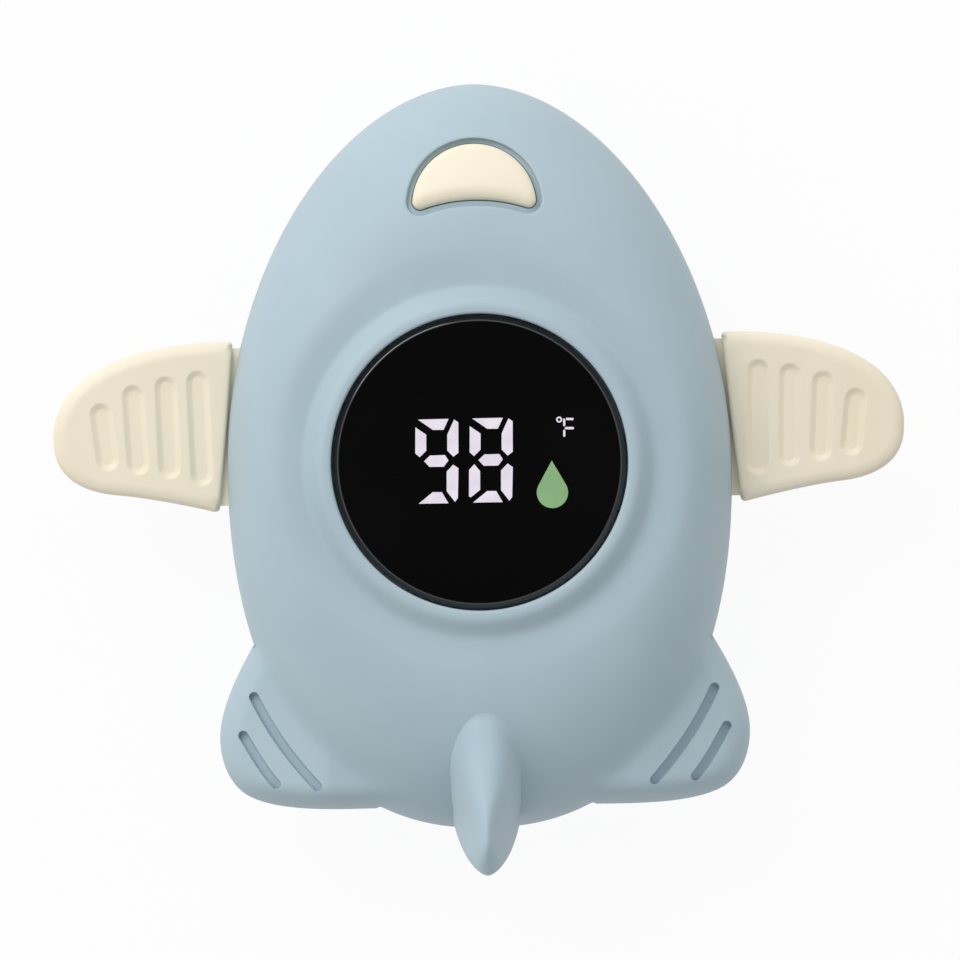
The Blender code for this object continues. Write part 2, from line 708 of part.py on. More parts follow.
def stroke_outlines(left):
    """Outlines of the seven strokes of one figure, each a bar with pointed ends."""
    low = DIGIT_MIDDLE - DIGIT_HEIGHT / 2
    high = DIGIT_MIDDLE + DIGIT_HEIGHT / 2
    half = STROKE / 2
    x0, x1 = left + half, left + DIGIT_WIDTH - half
    strokes = []
    for y in (low + half, DIGIT_MIDDLE, high - half):
        a, b = x0 + STROKE_GAP, x1 - STROKE_GAP
        strokes.append([(a, y), (a + half, y - half), (b - half, y - half), (b, y),
                        (b - half, y + half), (a + half, y + half)])
    for y0, y1 in ((low + half, DIGIT_MIDDLE), (DIGIT_MIDDLE, high - half)):
        a, b = y0 + STROKE_GAP, y1 - STROKE_GAP
        for x in (x0, x1):
            strokes.append([(x, a), (x + half, a + half), (x + half, b - half), (x, b),
                            (x - half, b - half), (x - half, a + half)])
    return strokes


def door_outline(grow=0.0):
    """Outline of the battery door, with an ear at the rear for its screw."""
    half = DOOR_HALF_WIDTH + grow
    rear = DOOR_REAR - grow
    front = DOOR_FRONT + grow
    corner = DOOR_CORNER + grow
    ear = DOOR_EAR + grow
    lift = asin((rear - DOOR_SHOULDER - DOOR_SCREW_Y) / ear)
    points = arc((half - corner, front - corner), corner, 0, pi / 2, 5)
    points += arc((corner - half, front - corner), corner, pi / 2, pi, 5)
    points += arc((corner - half, rear + corner), corner, pi, 3 * pi / 2, 5)
    points += arc((0, DOOR_SCREW_Y), ear, pi - lift, 2 * pi + lift, 12)
    points += arc((half - corner, rear + corner), corner, 3 * pi / 2, 2 * pi, 5)
    return points


def board_outline():
    """Outline of the circuit board: a disc with a tongue towards the nose."""
    half = BOARD_TONGUE_WIDTH / 2
    turn = asin(half / BOARD_RADIUS)
    points = arc((0, 0), BOARD_RADIUS, pi / 2 + turn, 5 * pi / 2 - turn, 32)
    return points + [(half, BOARD_TONGUE_END), (-half, BOARD_TONGUE_END)]


# Fin over the tail

def fin_section(place, inset):
    """Half width, underside, widest height and top of the fin at one place along it."""
    if place < FIN_WIDEST:
        width = FIN_HALF_WIDTH * sqrt(max(1 - (1 - place / FIN_WIDEST) ** 2, 0))
    else:
        behind = (place - FIN_WIDEST) / (1 - FIN_WIDEST)
        width = FIN_HALF_WIDTH * (1 - behind ** FIN_TAIL_POWER) ** FIN_TAIL_FULL
    length = TAIL_LENGTH + FIN_OVERHANG - FIN_FRONT
    free = max((place - FIN_LEAVE) / (1 - FIN_LEAVE), 0)
    surface = crown_height(0, -FIN_FRONT - length * min(place, FIN_LEAVE))
    start = crown_height(0, -FIN_FRONT) - FIN_SINK
    peak = BODY_TOP + FIN_HEIGHT
    top = start + (peak - start) * sin(min(place / FIN_PEAK, 1) * pi / 2) ** FIN_TOP_POWER
    top -= FIN_DROP * (max(place - FIN_PEAK, 0) / (1 - FIN_PEAK)) ** 2
    low = surface - FIN_ROOT
    low += (peak - FIN_DROP - FIN_TIP_HEIGHT - low) * free ** FIN_LOW_POWER
    middle = (top + low) / 2
    closing = sqrt(1 - (max(place - FIN_ROUND, 0) / (1 - FIN_ROUND)) ** 2)
    top = middle + (top - middle) * closing
    low = middle + (low - middle) * closing
    seat = surface - FIN_SEAT
    seat += (middle - seat) * free ** FIN_SEAT_POWER
    opened = 1 - min(6 * free, 1)
    low += inset - 3 * inset * opened
    return max(width - inset, 0.2 * MM), low, seat, max(top - inset, low + 0.3 * MM)


def fin_mesh(inset=0.0):
    """Swept fin lofted through upright sections; inset gives the hollow inside it, open to the body."""
    length = TAIL_LENGTH + FIN_OVERHANG - FIN_FRONT
    mesh = bmesh.new()
    rows = []
    for step in range(FIN_STEPS + 1):
        place = (1 - cos(pi * step / FIN_STEPS)) / 2
        width, low, seat, top = fin_section(place, inset)
        seat = min(max(seat, low + 0.1 * MM), top - 0.1 * MM)
        y = -FIN_FRONT - inset - (length - 2 * inset) * place
        row = []
        for turn in range(FIN_RING_STEPS):
            angle = 2 * pi * turn / FIN_RING_STEPS
            height = top - seat if sin(angle) > 0 else seat - low
            row.append(mesh.verts.new((width * cos(angle), y, seat + height * sin(angle))))
        rows.append(row)
    for row, after in zip(rows, rows[1:]):
        join_pair(mesh, row, after)
    mesh.faces.new(rows[0])
    mesh.faces.new(rows[-1])
    bmesh.ops.triangulate(mesh, faces=mesh.faces)
    return mesh


# Flat pieces with rounded rims

def round_rims(mesh, width, segments):
    """Rounds the level rims of a prism."""
    rims = []
    for edge in mesh.edges:
        first, second = edge.verts
        if abs(first.co.z - second.co.z) < 0.001 * MM and edge.calc_face_angle(0) > radians(50):
            rims.append(edge)
    bmesh.ops.bevel(mesh, geom=rims, offset=width, offset_type="OFFSET", segments=segments,
                    profile=0.5, affect="EDGES", clamp_overlap=True)
    return mesh


def tapered(mesh, start, stop, loss):
    """Thins a flat piece evenly from one distance from the middle plane to another."""
    for point in mesh.verts:
        share = min(max((abs(point.co.x) - start) / (stop - start), 0), 1)
        point.co.z = PARTING + (point.co.z - PARTING) * (1 - loss * share)
    return mesh


def merged(meshes):
    """One mesh that holds several separate bodies."""
    whole = bmesh.new()
    for mesh in meshes:
        data = bpy.data.meshes.new("piece")
        bmesh.ops.recalc_face_normals(mesh, faces=mesh.faces)
        mesh.to_mesh(data)
        mesh.free()
        whole.from_mesh(data)
        bpy.data.meshes.remove(data)
    return whole


# Tailplanes

TAILPLANE_OUT = beside_tail(TAILPLANE_TIP)[0]
TAILPLANE_ROOT = TAILPLANE_OUT - TAILPLANE_WIDTH


def tailplane_half(side, upward):
    """Half of a tailplane, above or below the parting plane, with its free edge rounded."""
    half = TAILPLANE_THICKNESS / 2
    lowest = GAP / 2 + SEAM_STEP
    mesh = bmesh.new()
    rows = []
    for inset_share, height_share in ROUND_EDGE:
        row = []
        for x, y in tailplane_outline(side, inset_share * TAILPLANE_EDGE):
            loss = TAILPLANE_TAPER * min(max((abs(x) - TAILPLANE_ROOT) / TAILPLANE_WIDTH, 0), 1)
            height = max(height_share * half * (1 - loss), lowest)
            row.append(mesh.verts.new((x, y, PARTING + upward * height)))
        rows.append(row)
    for row, after in zip(rows, rows[1:]):
        join_pair(mesh, row, after)
    mesh.faces.new(rows[0])
    mesh.faces.new(rows[-1])
    bmesh.ops.triangulate(mesh, faces=mesh.faces)
    return mesh


def tailplane_hollow(side):
    """Hollow of a tailplane, inside its walls and outside the body."""
    smaller = [(x, y) for x, y in tailplane_outline(side, WALL)
               if hypot(x, y) > body_reach(atan2(y, x)) + TAILPLANE_WEB]
    half = TAILPLANE_THICKNESS / 2 - TAILPLANE_WALL
    block = prism(smaller, PARTING - half, PARTING + half)
    return tapered(block, TAILPLANE_ROOT, TAILPLANE_OUT, TAILPLANE_TAPER)


def tail_slot_cutter(side):
    """Grooves in the top of a tailplane."""
    top = PARTING + TAILPLANE_THICKNESS / 2
    slots = [prism(capsule(line, TAIL_SLOT_WIDTH), top - TAIL_SLOT_DEPTH, top + 2 * OVERLAP)
             for line in tail_slots(side)]
    return tapered(merged(slots), TAILPLANE_ROOT, TAILPLANE_OUT, TAILPLANE_TAPER)


# Tools shared by both shells

def crown_block(shrink):
    """Solid under the dome, shrunk by a little, that trims what grows up against it from inside."""
    def section(angle):
        reach = body_reach(angle) - shrink
        points = [(0, PARTING - BOSS_RADIUS), (reach, PARTING - BOSS_RADIUS)]
        for step in range(CROWN_STEPS):
            points.append(crown_point(reach, RISE - shrink, pi / 2 * step / (CROWN_STEPS - 1)))
        points.append((0, BODY_TOP - shrink))
        return points
    return lofted(section)


def stepped_hole(seat, top, x, y):
    """Cutter for a screw from below: a wide well up to the head's seat and a narrow hole above it."""
    return moved(turned([
        (0, -OVERLAP), (WELL_RADIUS, -OVERLAP), (WELL_RADIUS, seat), (PILOT_RADIUS, seat),
        (PILOT_RADIUS, top), (0, top)], SCREW_STEPS), x, y)


CASE_SCREW_PLACES = [(f"case_screw_{row}_{side_name}", side * CASE_SCREW_SHARE * HALF_WIDTH, y)
                     for row, y in CASE_SCREWS for side_name, side in SIDES]

pockets = [add_object(f"wing_pocket_{name}", prism(
    tenon_outline(side, GAP), PARTING - TENON_THICKNESS / 2 - GAP, PARTING + TENON_THICKNESS / 2 + GAP))
    for name, side in SIDES]
tail_hollows = [add_object(f"tail_hollow_{name}", tailplane_hollow(side)) for name, side in SIDES]


# Upper shell

grown_inside = [cylinder(BOSS_RADIUS, PARTING + GAP / 2 + SEAM_STEP, BODY_TOP + FIN_HEIGHT, x, y, SCREW_STEPS)
                for name, x, y in CASE_SCREW_PLACES]
grown_inside.append(prism(crescent(BUTTON_GAP + WELL_WALL), WELL_BOTTOM, BODY_TOP + FIN_HEIGHT))
inside_tool = add_object("bosses_and_well", merged(grown_inside))
trim_tool = add_object("crown_trim", crown_block(CROWN_ROOT))
boolean(inside_tool, [trim_tool], "INTERSECT")

post_places = [(2 * pi * (step + 0.5) / BOARD_POST_COUNT + pi / 2) for step in range(BOARD_POST_COUNT)]
post_ring = (LEDGE_RADIUS + LENS_OPENING) / 2
board_posts = add_object("board_posts", merged([
    cylinder(BOARD_POST_RADIUS, BOARD_TOP + GAP, LEDGE_TOP - 0.5 * LEDGE_THICKNESS,
             post_ring * cos(angle), post_ring * sin(angle), SCREW_STEPS) for angle in post_places]))
fin = add_object("fin", fin_mesh())
upper_tails = [add_object(f"upper_tail_{name}", tailplane_half(side, 1)) for name, side in SIDES]

well_cutter = add_object("button_well", prism(crescent(GAP), WELL_TOP, BODY_TOP + FIN_HEIGHT))
groove_cutter = add_object("button_groove", prism(crescent(BUTTON_GAP), WELL_TOP, BODY_TOP + FIN_HEIGHT))
boolean(groove_cutter, [add_object("groove_floor", crown_block(GROOVE_DEPTH))])
post_cutter = add_object("post_hole", cylinder(
    POST_RADIUS + GAP, WELL_BOTTOM - OVERLAP, WELL_TOP + OVERLAP, 0, BUTTON_POST))
pilot_cutter = add_object("pilot_holes", merged([
    cylinder(PILOT_RADIUS, PARTING - OVERLAP, PARTING + SCREW_BITE + 2 * GAP, x, y, SCREW_STEPS)
    for name, x, y in CASE_SCREW_PLACES]))
tail_slot_cutters = [add_object(f"tail_slots_{name}", tail_slot_cutter(side)) for name, side in SIDES]
fin_hollow = add_object("fin_hollow", fin_mesh(FIN_WALL))

upper_shell = add_object("upper_shell", lofted(upper_section), BLUE)
boolean(upper_shell, [fin, *upper_tails, inside_tool, board_posts], "UNION")
boolean(upper_shell, [well_cutter, groove_cutter, post_cutter, pilot_cutter, *pockets, *tail_hollows,
                      *tail_slot_cutters, fin_hollow])
soften(upper_shell)


# Lower shell with its battery bay, screw wells and probe seat

well_tube_radius = WELL_RADIUS + WELL_TUBE_WALL
lower_rim = PARTING - GAP / 2 - SEAM_STEP
bay_block = add_object("bay_block", box(
    -BAY_HALF_WIDTH - BAY_WALL, BAY_HALF_WIDTH + BAY_WALL, BAY_REAR - BAY_WALL, BAY_FRONT + BAY_WALL,
    BAY_ROOT, BAY_TOP + BAY_WALL))
ledge_block = add_object("door_ledge", prism(
    door_outline(GAP + BAY_WALL), LEDGE_ROOT, DOOR_RECESS + BAY_WALL))
well_tube_top = SCREW_SEAT + WELL_TUBE_WALL
tube_profile = [(0, TUBE_ROOT), (well_tube_radius, TUBE_ROOT), (well_tube_radius, well_tube_top),
                (BOSS_RADIUS, well_tube_top), (BOSS_RADIUS, lower_rim), (0, lower_rim)]
lower_bosses = add_object("screw_tubes", merged(
    [moved(turned(tube_profile, SCREW_STEPS), x, y) for name, x, y in CASE_SCREW_PLACES]))
door_boss = add_object("door_boss", cylinder(
    BOSS_RADIUS, DOOR_RECESS + 0.5 * BAY_WALL, DOOR_SCREW_TOP + 2 * OVERLAP, 0, DOOR_SCREW_Y))
probe_pad = add_object("probe_pad", cylinder(
    PROBE_RADIUS + PROBE_FLANGE + GAP, PAD_ROOT, PROBE_SEAT, 0, PROBE_DISTANCE))
lower_tails = [add_object(f"lower_tail_{name}", tailplane_half(side, -1)) for name, side in SIDES]

recess_cutter = add_object("door_recess", prism(door_outline(GAP), -OVERLAP, DOOR_RECESS))
bay_cutter = add_object("battery_bay", box(
    -BAY_HALF_WIDTH, BAY_HALF_WIDTH, BAY_REAR, BAY_FRONT, DOOR_RECESS - OVERLAP, BAY_TOP))
screw_wells = add_object("screw_wells", merged(
    [stepped_hole(SCREW_SEAT, PARTING + OVERLAP, x, y) for name, x, y in CASE_SCREW_PLACES]))
door_screw_hole = add_object("door_screw_hole", cylinder(
    PILOT_RADIUS, DOOR_RECESS - OVERLAP, DOOR_SCREW_TOP + OVERLAP, 0, DOOR_SCREW_Y, SCREW_STEPS))
probe_hole = add_object("probe_hole", cylinder(
    PROBE_RADIUS + GAP, -OVERLAP, PROBE_SEAT + OVERLAP, 0, PROBE_DISTANCE))
plate_y = BAY_FRONT - GAP - PLATE_THICKNESS / 2
lead_holes = add_object("lead_holes", merged(
    [cylinder(BATTERY_LEAD_RADIUS + GAP, BAY_TOP - OVERLAP, BAY_TOP + BAY_WALL + OVERLAP,
              side * CELL_SPACING / 2, plate_y, SCREW_STEPS) for name, side in SIDES]))

lower_shell = add_object("lower_shell", lofted(lower_section), BLUE)
boolean(lower_shell, [bay_block, ledge_block, lower_bosses, door_boss, probe_pad, *lower_tails], "UNION")
boolean(lower_shell, [recess_cutter, bay_cutter, lead_holes, screw_wells, door_screw_hole,
                      *pockets, *tail_hollows, probe_hole])
soften(lower_shell)


# Seal between the shells

soften(add_object("hull_seal", lofted(seal_section), CLEAR_RUBBER))


# Wings

for name, side in SIDES:
    tip = beside_body(WING_TIP)[0]
    root = wing_root((WING_FRONT + WING_REAR) / 2)
    low, high = PARTING - WING_THICKNESS / 2, PARTING + WING_THICKNESS / 2
    slab = round_rims(prism(wing_outline(side), low, high), WING_EDGE, 2)
    wing = add_object(f"wing_{name}", tapered(slab, root, tip, WING_TAPER), CREAM)
    tenon = add_object(f"tenon_{name}", prism(
        tenon_outline(side), PARTING - TENON_THICKNESS / 2, PARTING + TENON_THICKNESS / 2))
    grooves = []
    for line in wing_slots(side):
        for z0, z1 in ((low - OVERLAP, low + WING_SLOT_DEPTH), (high - WING_SLOT_DEPTH, high + OVERLAP)):
            grooves.append(prism(capsule(line, WING_SLOT_WIDTH), z0, z1))
    slot_cutter = add_object(f"wing_grooves_{name}", tapered(merged(grooves), root, tip, WING_TAPER))
    boolean(wing, [tenon], "UNION")
    boolean(wing, [slot_cutter])
    soften(wing)


# Display window and its gasket

chamfer = 0.4 * MM
soften(add_object("display_lens", turned([
    (0, LENS_BOTTOM), (LENS_RADIUS, LENS_BOTTOM), (LENS_RADIUS, LENS_TOP - chamfer),
    (LENS_RADIUS - chamfer, LENS_TOP), (0, LENS_TOP)], BODY_STEPS), BLACK))
gasket_low = LEDGE_TOP + GAP
gasket_top = gasket_low + GASKET_THICKNESS
soften(add_object("lens_gasket", turned([
    (LEDGE_RADIUS + GAP, gasket_low), (LENS_RADIUS, gasket_low),
    (LENS_RADIUS, gasket_top), (LEDGE_RADIUS + GAP, gasket_top)], BODY_STEPS), DARK))


# Button: a crowned crescent on a post, the grommet on its post, and the switch under it

def cap_mesh():
    """Crescent cap whose crowned top follows the body's surface."""
    mesh = bmesh.new()
    rows = []
    for inset, proud in CAP_ROUNDING:
        row = []
        for x, y in crescent(-inset * MM):
            z = CAP_LOW if proud is None else crown_height(x, y) + proud * BUTTON_PROUD
            row.append(mesh.verts.new((x, y, z)))
        rows.append(row)
    for row, after in zip(rows, rows[1:]):
        join_pair(mesh, row, after)
    mesh.faces.new(rows[0])
    mesh.faces.new(rows[-1])
    bmesh.ops.triangulate(mesh, faces=mesh.faces)
    return moved(mesh, 0, -BUTTON_POST, -CAP_LOW)


post = add_object("button_post", cylinder(POST_RADIUS, POST_LOW - CAP_LOW, OVERLAP), parent=button_axis)
power_button = add_object("power_button", cap_mesh(), CREAM, button_axis)
boolean(power_button, [post], "UNION")
soften(power_button)
soften(add_object("switch_stem", cylinder(
    SWITCH_STEM_RADIUS, STEM_LOW - CAP_LOW, STEM_TOP - CAP_LOW), WHITE, button_axis))

grommet_inner = POST_RADIUS + GAP
grommet = moved(turned([
    (grommet_inner, GROMMET_LOW), (grommet_inner + GROMMET_WIDTH, GROMMET_LOW),
    (grommet_inner + GROMMET_WIDTH, GROMMET_LOW + GROMMET_HEIGHT),
    (grommet_inner, GROMMET_LOW + GROMMET_HEIGHT)]), 0, BUTTON_POST)
soften(add_object("button_grommet", grommet, DARK))

half_switch = SWITCH_SIZE / 2
switch_base = add_object("switch_base", box(
    -half_switch, half_switch, BUTTON_POST - half_switch, BUTTON_POST + half_switch,
    SWITCH_LOW, SWITCH_TOP), DARK)
stem_bore = add_object("stem_bore", cylinder(
    SWITCH_STEM_RADIUS + GAP, SWITCH_BORE_LOW, SWITCH_TOP + OVERLAP, 0, BUTTON_POST))
boolean(switch_base, [stem_bore])


# Circuit board with the display module and the controller

add_object("main_board", prism(board_outline(), BOARD_LOW, BOARD_TOP), GREEN)
half_length, half_width = MODULE_LENGTH / 2, MODULE_WIDTH / 2
display_module = add_object("display_module", box(
    -half_length, half_length, -half_width, half_width, MODULE_LOW, MODULE_TOP), WHITE)
figures = stroke_outlines(DIGIT_LEFT) + stroke_outlines(DIGIT_LEFT + DIGIT_PITCH) + [drop_outline()]
figure_wells = add_object("figure_wells", merged(
    [prism(outline, MODULE_TOP - FIGURE_DEPTH, MODULE_TOP + OVERLAP) for outline in figures]))
boolean(display_module, [figure_wells])
chip_y = -BOARD_RADIUS / 2
add_object("controller_chip", box(
    -CHIP_SIZE / 2, CHIP_SIZE / 2, chip_y - CHIP_SIZE / 2, chip_y + CHIP_SIZE / 2,
    BOARD_LOW - GAP - CHIP_HEIGHT, BOARD_LOW - GAP), DARK)


# Temperature probe: steel cap, its seal, the sensor in it and two leads

flange_low = PROBE_SEAT + PROBE_SEAL_HEIGHT + 2 * GAP
flange_top = flange_low + 1.5 * PROBE_WALL
flange_radius = PROBE_RADIUS + PROBE_FLANGE
inner_radius = PROBE_RADIUS - PROBE_WALL
round_edge = 1.5 * PROBE_WALL
soften(add_object("probe_cap", moved(turned([
    (0, PROBE_TIP), (PROBE_RADIUS - round_edge, PROBE_TIP), (PROBE_RADIUS, PROBE_TIP + round_edge),
    (PROBE_RADIUS, flange_low), (flange_radius, flange_low), (flange_radius, flange_top),
    (inner_radius, flange_top), (inner_radius, PROBE_TIP + PROBE_WALL + round_edge / 2),
    (inner_radius - round_edge / 2, PROBE_TIP + PROBE_WALL), (0, PROBE_TIP + PROBE_WALL)]),
    0, PROBE_DISTANCE), STEEL))
seal_low = PROBE_SEAT + GAP
soften(add_object("probe_seal", moved(turned([
    (PROBE_RADIUS + GAP, seal_low), (flange_radius, seal_low), (flange_radius, seal_low + PROBE_SEAL_HEIGHT),
    (PROBE_RADIUS + GAP, seal_low + PROBE_SEAL_HEIGHT)]), 0, PROBE_DISTANCE), DARK))

bead_z = PROBE_TIP + PROBE_WALL + GAP + THERMISTOR_RADIUS
bead = bmesh.new()
bmesh.ops.create_uvsphere(bead, u_segments=SCREW_STEPS, v_segments=6, radius=THERMISTOR_RADIUS,
                          matrix=Matrix.Translation((0, PROBE_DISTANCE, bead_z)))
soften(add_object("thermistor", bead, DARK))


def rising_route(start, finish, steps=6):
    """Route that leaves upright, swings over and arrives upright."""
    lift = (finish[2] - start[2]) * 0.55
    leave = (start[0], start[1], start[2] + lift)
    arrive = (finish[0], finish[1], finish[2] - lift)
    route = []
    for step in range(steps + 1):
        t = step / steps
        weights = ((1 - t) ** 3, 3 * (1 - t) ** 2 * t, 3 * (1 - t) * t * t, t ** 3)
        corners = (start, leave, arrive, finish)
        route.append(tuple(sum(w * c[axis] for w, c in zip(weights, corners)) for axis in range(3)))
    return route


lead_top = BOARD_LOW - GAP
for name, side in SIDES:
    tube(f"sensor_lead_{name}", rising_route(
        (side * 0.6 * THERMISTOR_RADIUS, PROBE_DISTANCE, bead_z + THERMISTOR_RADIUS + GAP),
        (side * 2 * THERMISTOR_RADIUS, PROBE_DISTANCE - 2 * THERMISTOR_RADIUS, lead_top)),
        SENSOR_LEAD_RADIUS, DARK)


# Cells, contacts and springs

cell_edge = 0.4 * MM
cell_profile = [
    (0, 0), (CELL_RADIUS - cell_edge, 0), (CELL_RADIUS, cell_edge), (CELL_RADIUS, CELL_BODY - cell_edge),
    (CELL_RADIUS - cell_edge, CELL_BODY), (CELL_NUB_RADIUS, CELL_BODY),
    (CELL_NUB_RADIUS, CELL_BODY + CELL_NUB), (0, CELL_BODY + CELL_NUB)]
cell_length = CELL_BODY + CELL_NUB
front_plate_face = BAY_FRONT - GAP - PLATE_THICKNESS - GAP


def spring_route(x, seat, heading):
    """Conical coil from its wide end at the contact plate to its narrow end at the cell."""
    route = []
    for step in range(SPRING_STEPS + 1):
        share = step / SPRING_STEPS
        radius = SPRING_WIDE + (SPRING_NARROW - SPRING_WIDE) * share
        angle = 2 * pi * SPRING_TURNS * share
        y = seat + heading * (SPRING_WIRE + (SPRING_LENGTH - 2 * SPRING_WIRE) * share)
        route.append((x + radius * cos(angle), y, CELL_AXIS + radius * sin(angle)))
    return route


def contact_plate(name, half_width, x, y, tab):
    """Upright contact plate; tab adds a solder tab that reaches towards the bay's roof."""
    half = CONTACT_HALF_HEIGHT
    points = [(-half_width, -half), (half_width, -half), (half_width, half)]
    if tab:
        reach = CELL_RADIUS
        points += [(CONTACT_TAB, half), (CONTACT_TAB, reach), (-CONTACT_TAB, reach), (-CONTACT_TAB, half)]
    points.append((-half_width, half))
    plate = add_object(name, prism(points, -PLATE_THICKNESS / 2, PLATE_THICKNESS / 2), STEEL)
    plate.location = (x, y, CELL_AXIS)
    plate.rotation_euler = (pi / 2, 0, 0)
    return plate


for name, side in SIDES:
    cell = soften(add_object(f"battery_{name}", turned(cell_profile), CELL))
    start = CELL_REAR + SPRING_LENGTH + GAP if side < 0 else CELL_REAR + cell_length
    cell.location = (side * CELL_SPACING / 2, start, CELL_AXIS)
    cell.rotation_euler = (side * pi / 2, 0, 0)

rear_plate_y = BAY_REAR + GAP + PLATE_THICKNESS / 2
contact_plate("bridge_contact", CELL_SPACING / 2 + CONTACT_HALF_WIDTH, 0, rear_plate_y, False)
contact_plate("positive_contact", CONTACT_HALF_WIDTH, -CELL_SPACING / 2, plate_y, True)
contact_plate("negative_contact", CONTACT_HALF_WIDTH, CELL_SPACING / 2, plate_y, True)
tube("bridge_spring", spring_route(-CELL_SPACING / 2, CELL_REAR, 1), SPRING_WIRE, STEEL)
tube("negative_spring", spring_route(CELL_SPACING / 2, front_plate_face, -1), SPRING_WIRE, STEEL)
tab_top = CELL_AXIS + CELL_RADIUS
for name, side, colour in (("positive", -1, RED), ("negative", 1, DARK)):
    tube(f"{name}_lead", rising_route(
        (side * CELL_SPACING / 2, plate_y, tab_top + GAP),
        (side * 0.6 * CELL_SPACING, plate_y - CELL_RADIUS, lead_top)), BATTERY_LEAD_RADIUS, colour)


# Battery door, its seal and its screw

head_floor = DOOR_SCREW_LOW + DOOR_SCREW_HEAD + GAP
battery_door = add_object("battery_door", prism(door_outline(), 0, DOOR_THICKNESS), BLUE)
boolean(battery_door, [add_object("door_screw_cutter", stepped_hole(
    head_floor, DOOR_THICKNESS + OVERLAP, 0, DOOR_SCREW_Y))])

seal_outer = DOOR_HALF_WIDTH - DOOR_SEAL_INSET
seal_high = DOOR_SEAL_LOW + DOOR_SEAL_HEIGHT
battery_door_seal = add_object("battery_door_seal", prism(rounded_box(
    seal_outer, DOOR_REAR + DOOR_SEAL_INSET, DOOR_FRONT - DOOR_SEAL_INSET,
    DOOR_CORNER - DOOR_SEAL_INSET), DOOR_SEAL_LOW, seal_high), CLEAR_RUBBER)
seal_step = DOOR_SEAL_INSET + DOOR_SEAL_WIDTH
boolean(battery_door_seal, [add_object("door_seal_middle", prism(rounded_box(
    seal_outer - DOOR_SEAL_WIDTH, DOOR_REAR + seal_step, DOOR_FRONT - seal_step,
    DOOR_CORNER - seal_step), DOOR_SEAL_LOW - OVERLAP, seal_high + OVERLAP))])


def screw(name, head_low, head_height, tip, x, y):
    """Pan-head screw that points up."""
    neck = head_low + head_height
    edge = 0.3 * head_height
    mesh = turned([
        (0, head_low), (SCREW_HEAD_RADIUS - edge, head_low), (SCREW_HEAD_RADIUS, head_low + edge),
        (SCREW_HEAD_RADIUS, neck), (SCREW_RADIUS, neck), (SCREW_RADIUS, tip - SCREW_RADIUS),
        (0.4 * SCREW_RADIUS, tip), (0, tip)], SCREW_STEPS)
    return soften(add_object(name, moved(mesh, x, y), STEEL))


screw("door_screw", DOOR_SCREW_LOW, DOOR_SCREW_HEAD, DOOR_SCREW_TOP, 0, DOOR_SCREW_Y)
for name, x, y in CASE_SCREW_PLACES:
    screw(name, SCREW_SEAT - GAP - SCREW_HEAD_HEIGHT, SCREW_HEAD_HEIGHT, PARTING + SCREW_BITE, x, y)
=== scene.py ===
from math import pi, radians

import bmesh
import bpy
import numpy as np
from mathutils.geometry import delaunay_2d_cdt
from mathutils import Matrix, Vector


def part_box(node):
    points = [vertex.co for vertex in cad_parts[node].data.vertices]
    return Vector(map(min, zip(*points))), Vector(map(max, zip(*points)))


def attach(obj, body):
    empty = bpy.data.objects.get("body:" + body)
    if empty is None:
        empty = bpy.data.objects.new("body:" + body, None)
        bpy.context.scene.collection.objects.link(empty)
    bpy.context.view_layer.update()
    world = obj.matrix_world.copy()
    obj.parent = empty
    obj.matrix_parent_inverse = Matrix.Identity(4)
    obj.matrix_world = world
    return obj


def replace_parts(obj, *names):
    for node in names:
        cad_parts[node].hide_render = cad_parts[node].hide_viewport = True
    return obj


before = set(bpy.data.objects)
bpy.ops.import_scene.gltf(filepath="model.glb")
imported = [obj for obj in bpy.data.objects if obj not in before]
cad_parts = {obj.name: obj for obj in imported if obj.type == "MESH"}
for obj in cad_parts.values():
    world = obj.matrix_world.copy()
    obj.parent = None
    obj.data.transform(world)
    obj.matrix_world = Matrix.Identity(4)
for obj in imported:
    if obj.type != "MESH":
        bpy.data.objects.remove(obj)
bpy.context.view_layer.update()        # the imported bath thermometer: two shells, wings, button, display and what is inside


# Lower shell. The hull of the float, one injection moulding of blue soft-touch plastic, smooth outside,
# with a flat belly. It is screwed to the upper shell from below, and has an opening for the battery door.
# Lengths in the shapes are millimetres, measured from the display's axis.
MM = 0.001
lens_low, lens_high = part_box("display_lens")
DISPLAY_Y = (lens_low[1] + lens_high[1]) / 2 / MM
PARTING = 16.0            # height at which the two shells meet
SEAM = 0.15               # each rim stops this much short of the parting plane
HALF_WIDTH = 32.17
NOSE_LENGTH, NOSE_POWER = 48.22, 1.893
TAIL_LENGTH, TAIL_POWER = 46.63, 2.274
WALL = 2.0
DIRECTIONS = 720          # directions in which an outline is followed
WELD = 0.003              # points closer than this become one
ON_LINE = 1e-4            # a point this near a line lies on it


def reach(angle):
    """Distance of the body's outline: half a superellipse towards the nose and another towards the tail."""
    ahead = np.sin(angle) > 0
    length = np.where(ahead, NOSE_LENGTH, TAIL_LENGTH)
    power = np.where(ahead, NOSE_POWER, TAIL_POWER)
    across = np.abs(np.cos(angle)) / HALF_WIDTH
    along = np.abs(np.sin(angle)) / length
    return (across ** power + along ** power) ** (-1 / power)


def cubic(corners, steps):
    """Cubic curve: the weights (1-t)^3, 3t(1-t)^2, 3t^2(1-t) and t^3 on its four corners."""
    t = np.linspace(0, 1, steps + 1)[:, None]
    a, b, c, d = np.array(corners, float)
    return (1 - t) ** 3 * a + 3 * t * (1 - t) ** 2 * b + 3 * t * t * (1 - t) * c + t ** 3 * d


def arc(centre, radius, start, stop, steps):
    """Circular arc: centre plus radius times the cosine and sine of an even spread of angles."""
    turn = np.linspace(start, stop, steps + 1)
    return np.column_stack([centre[0] + radius * np.cos(turn), centre[1] + radius * np.sin(turn)])


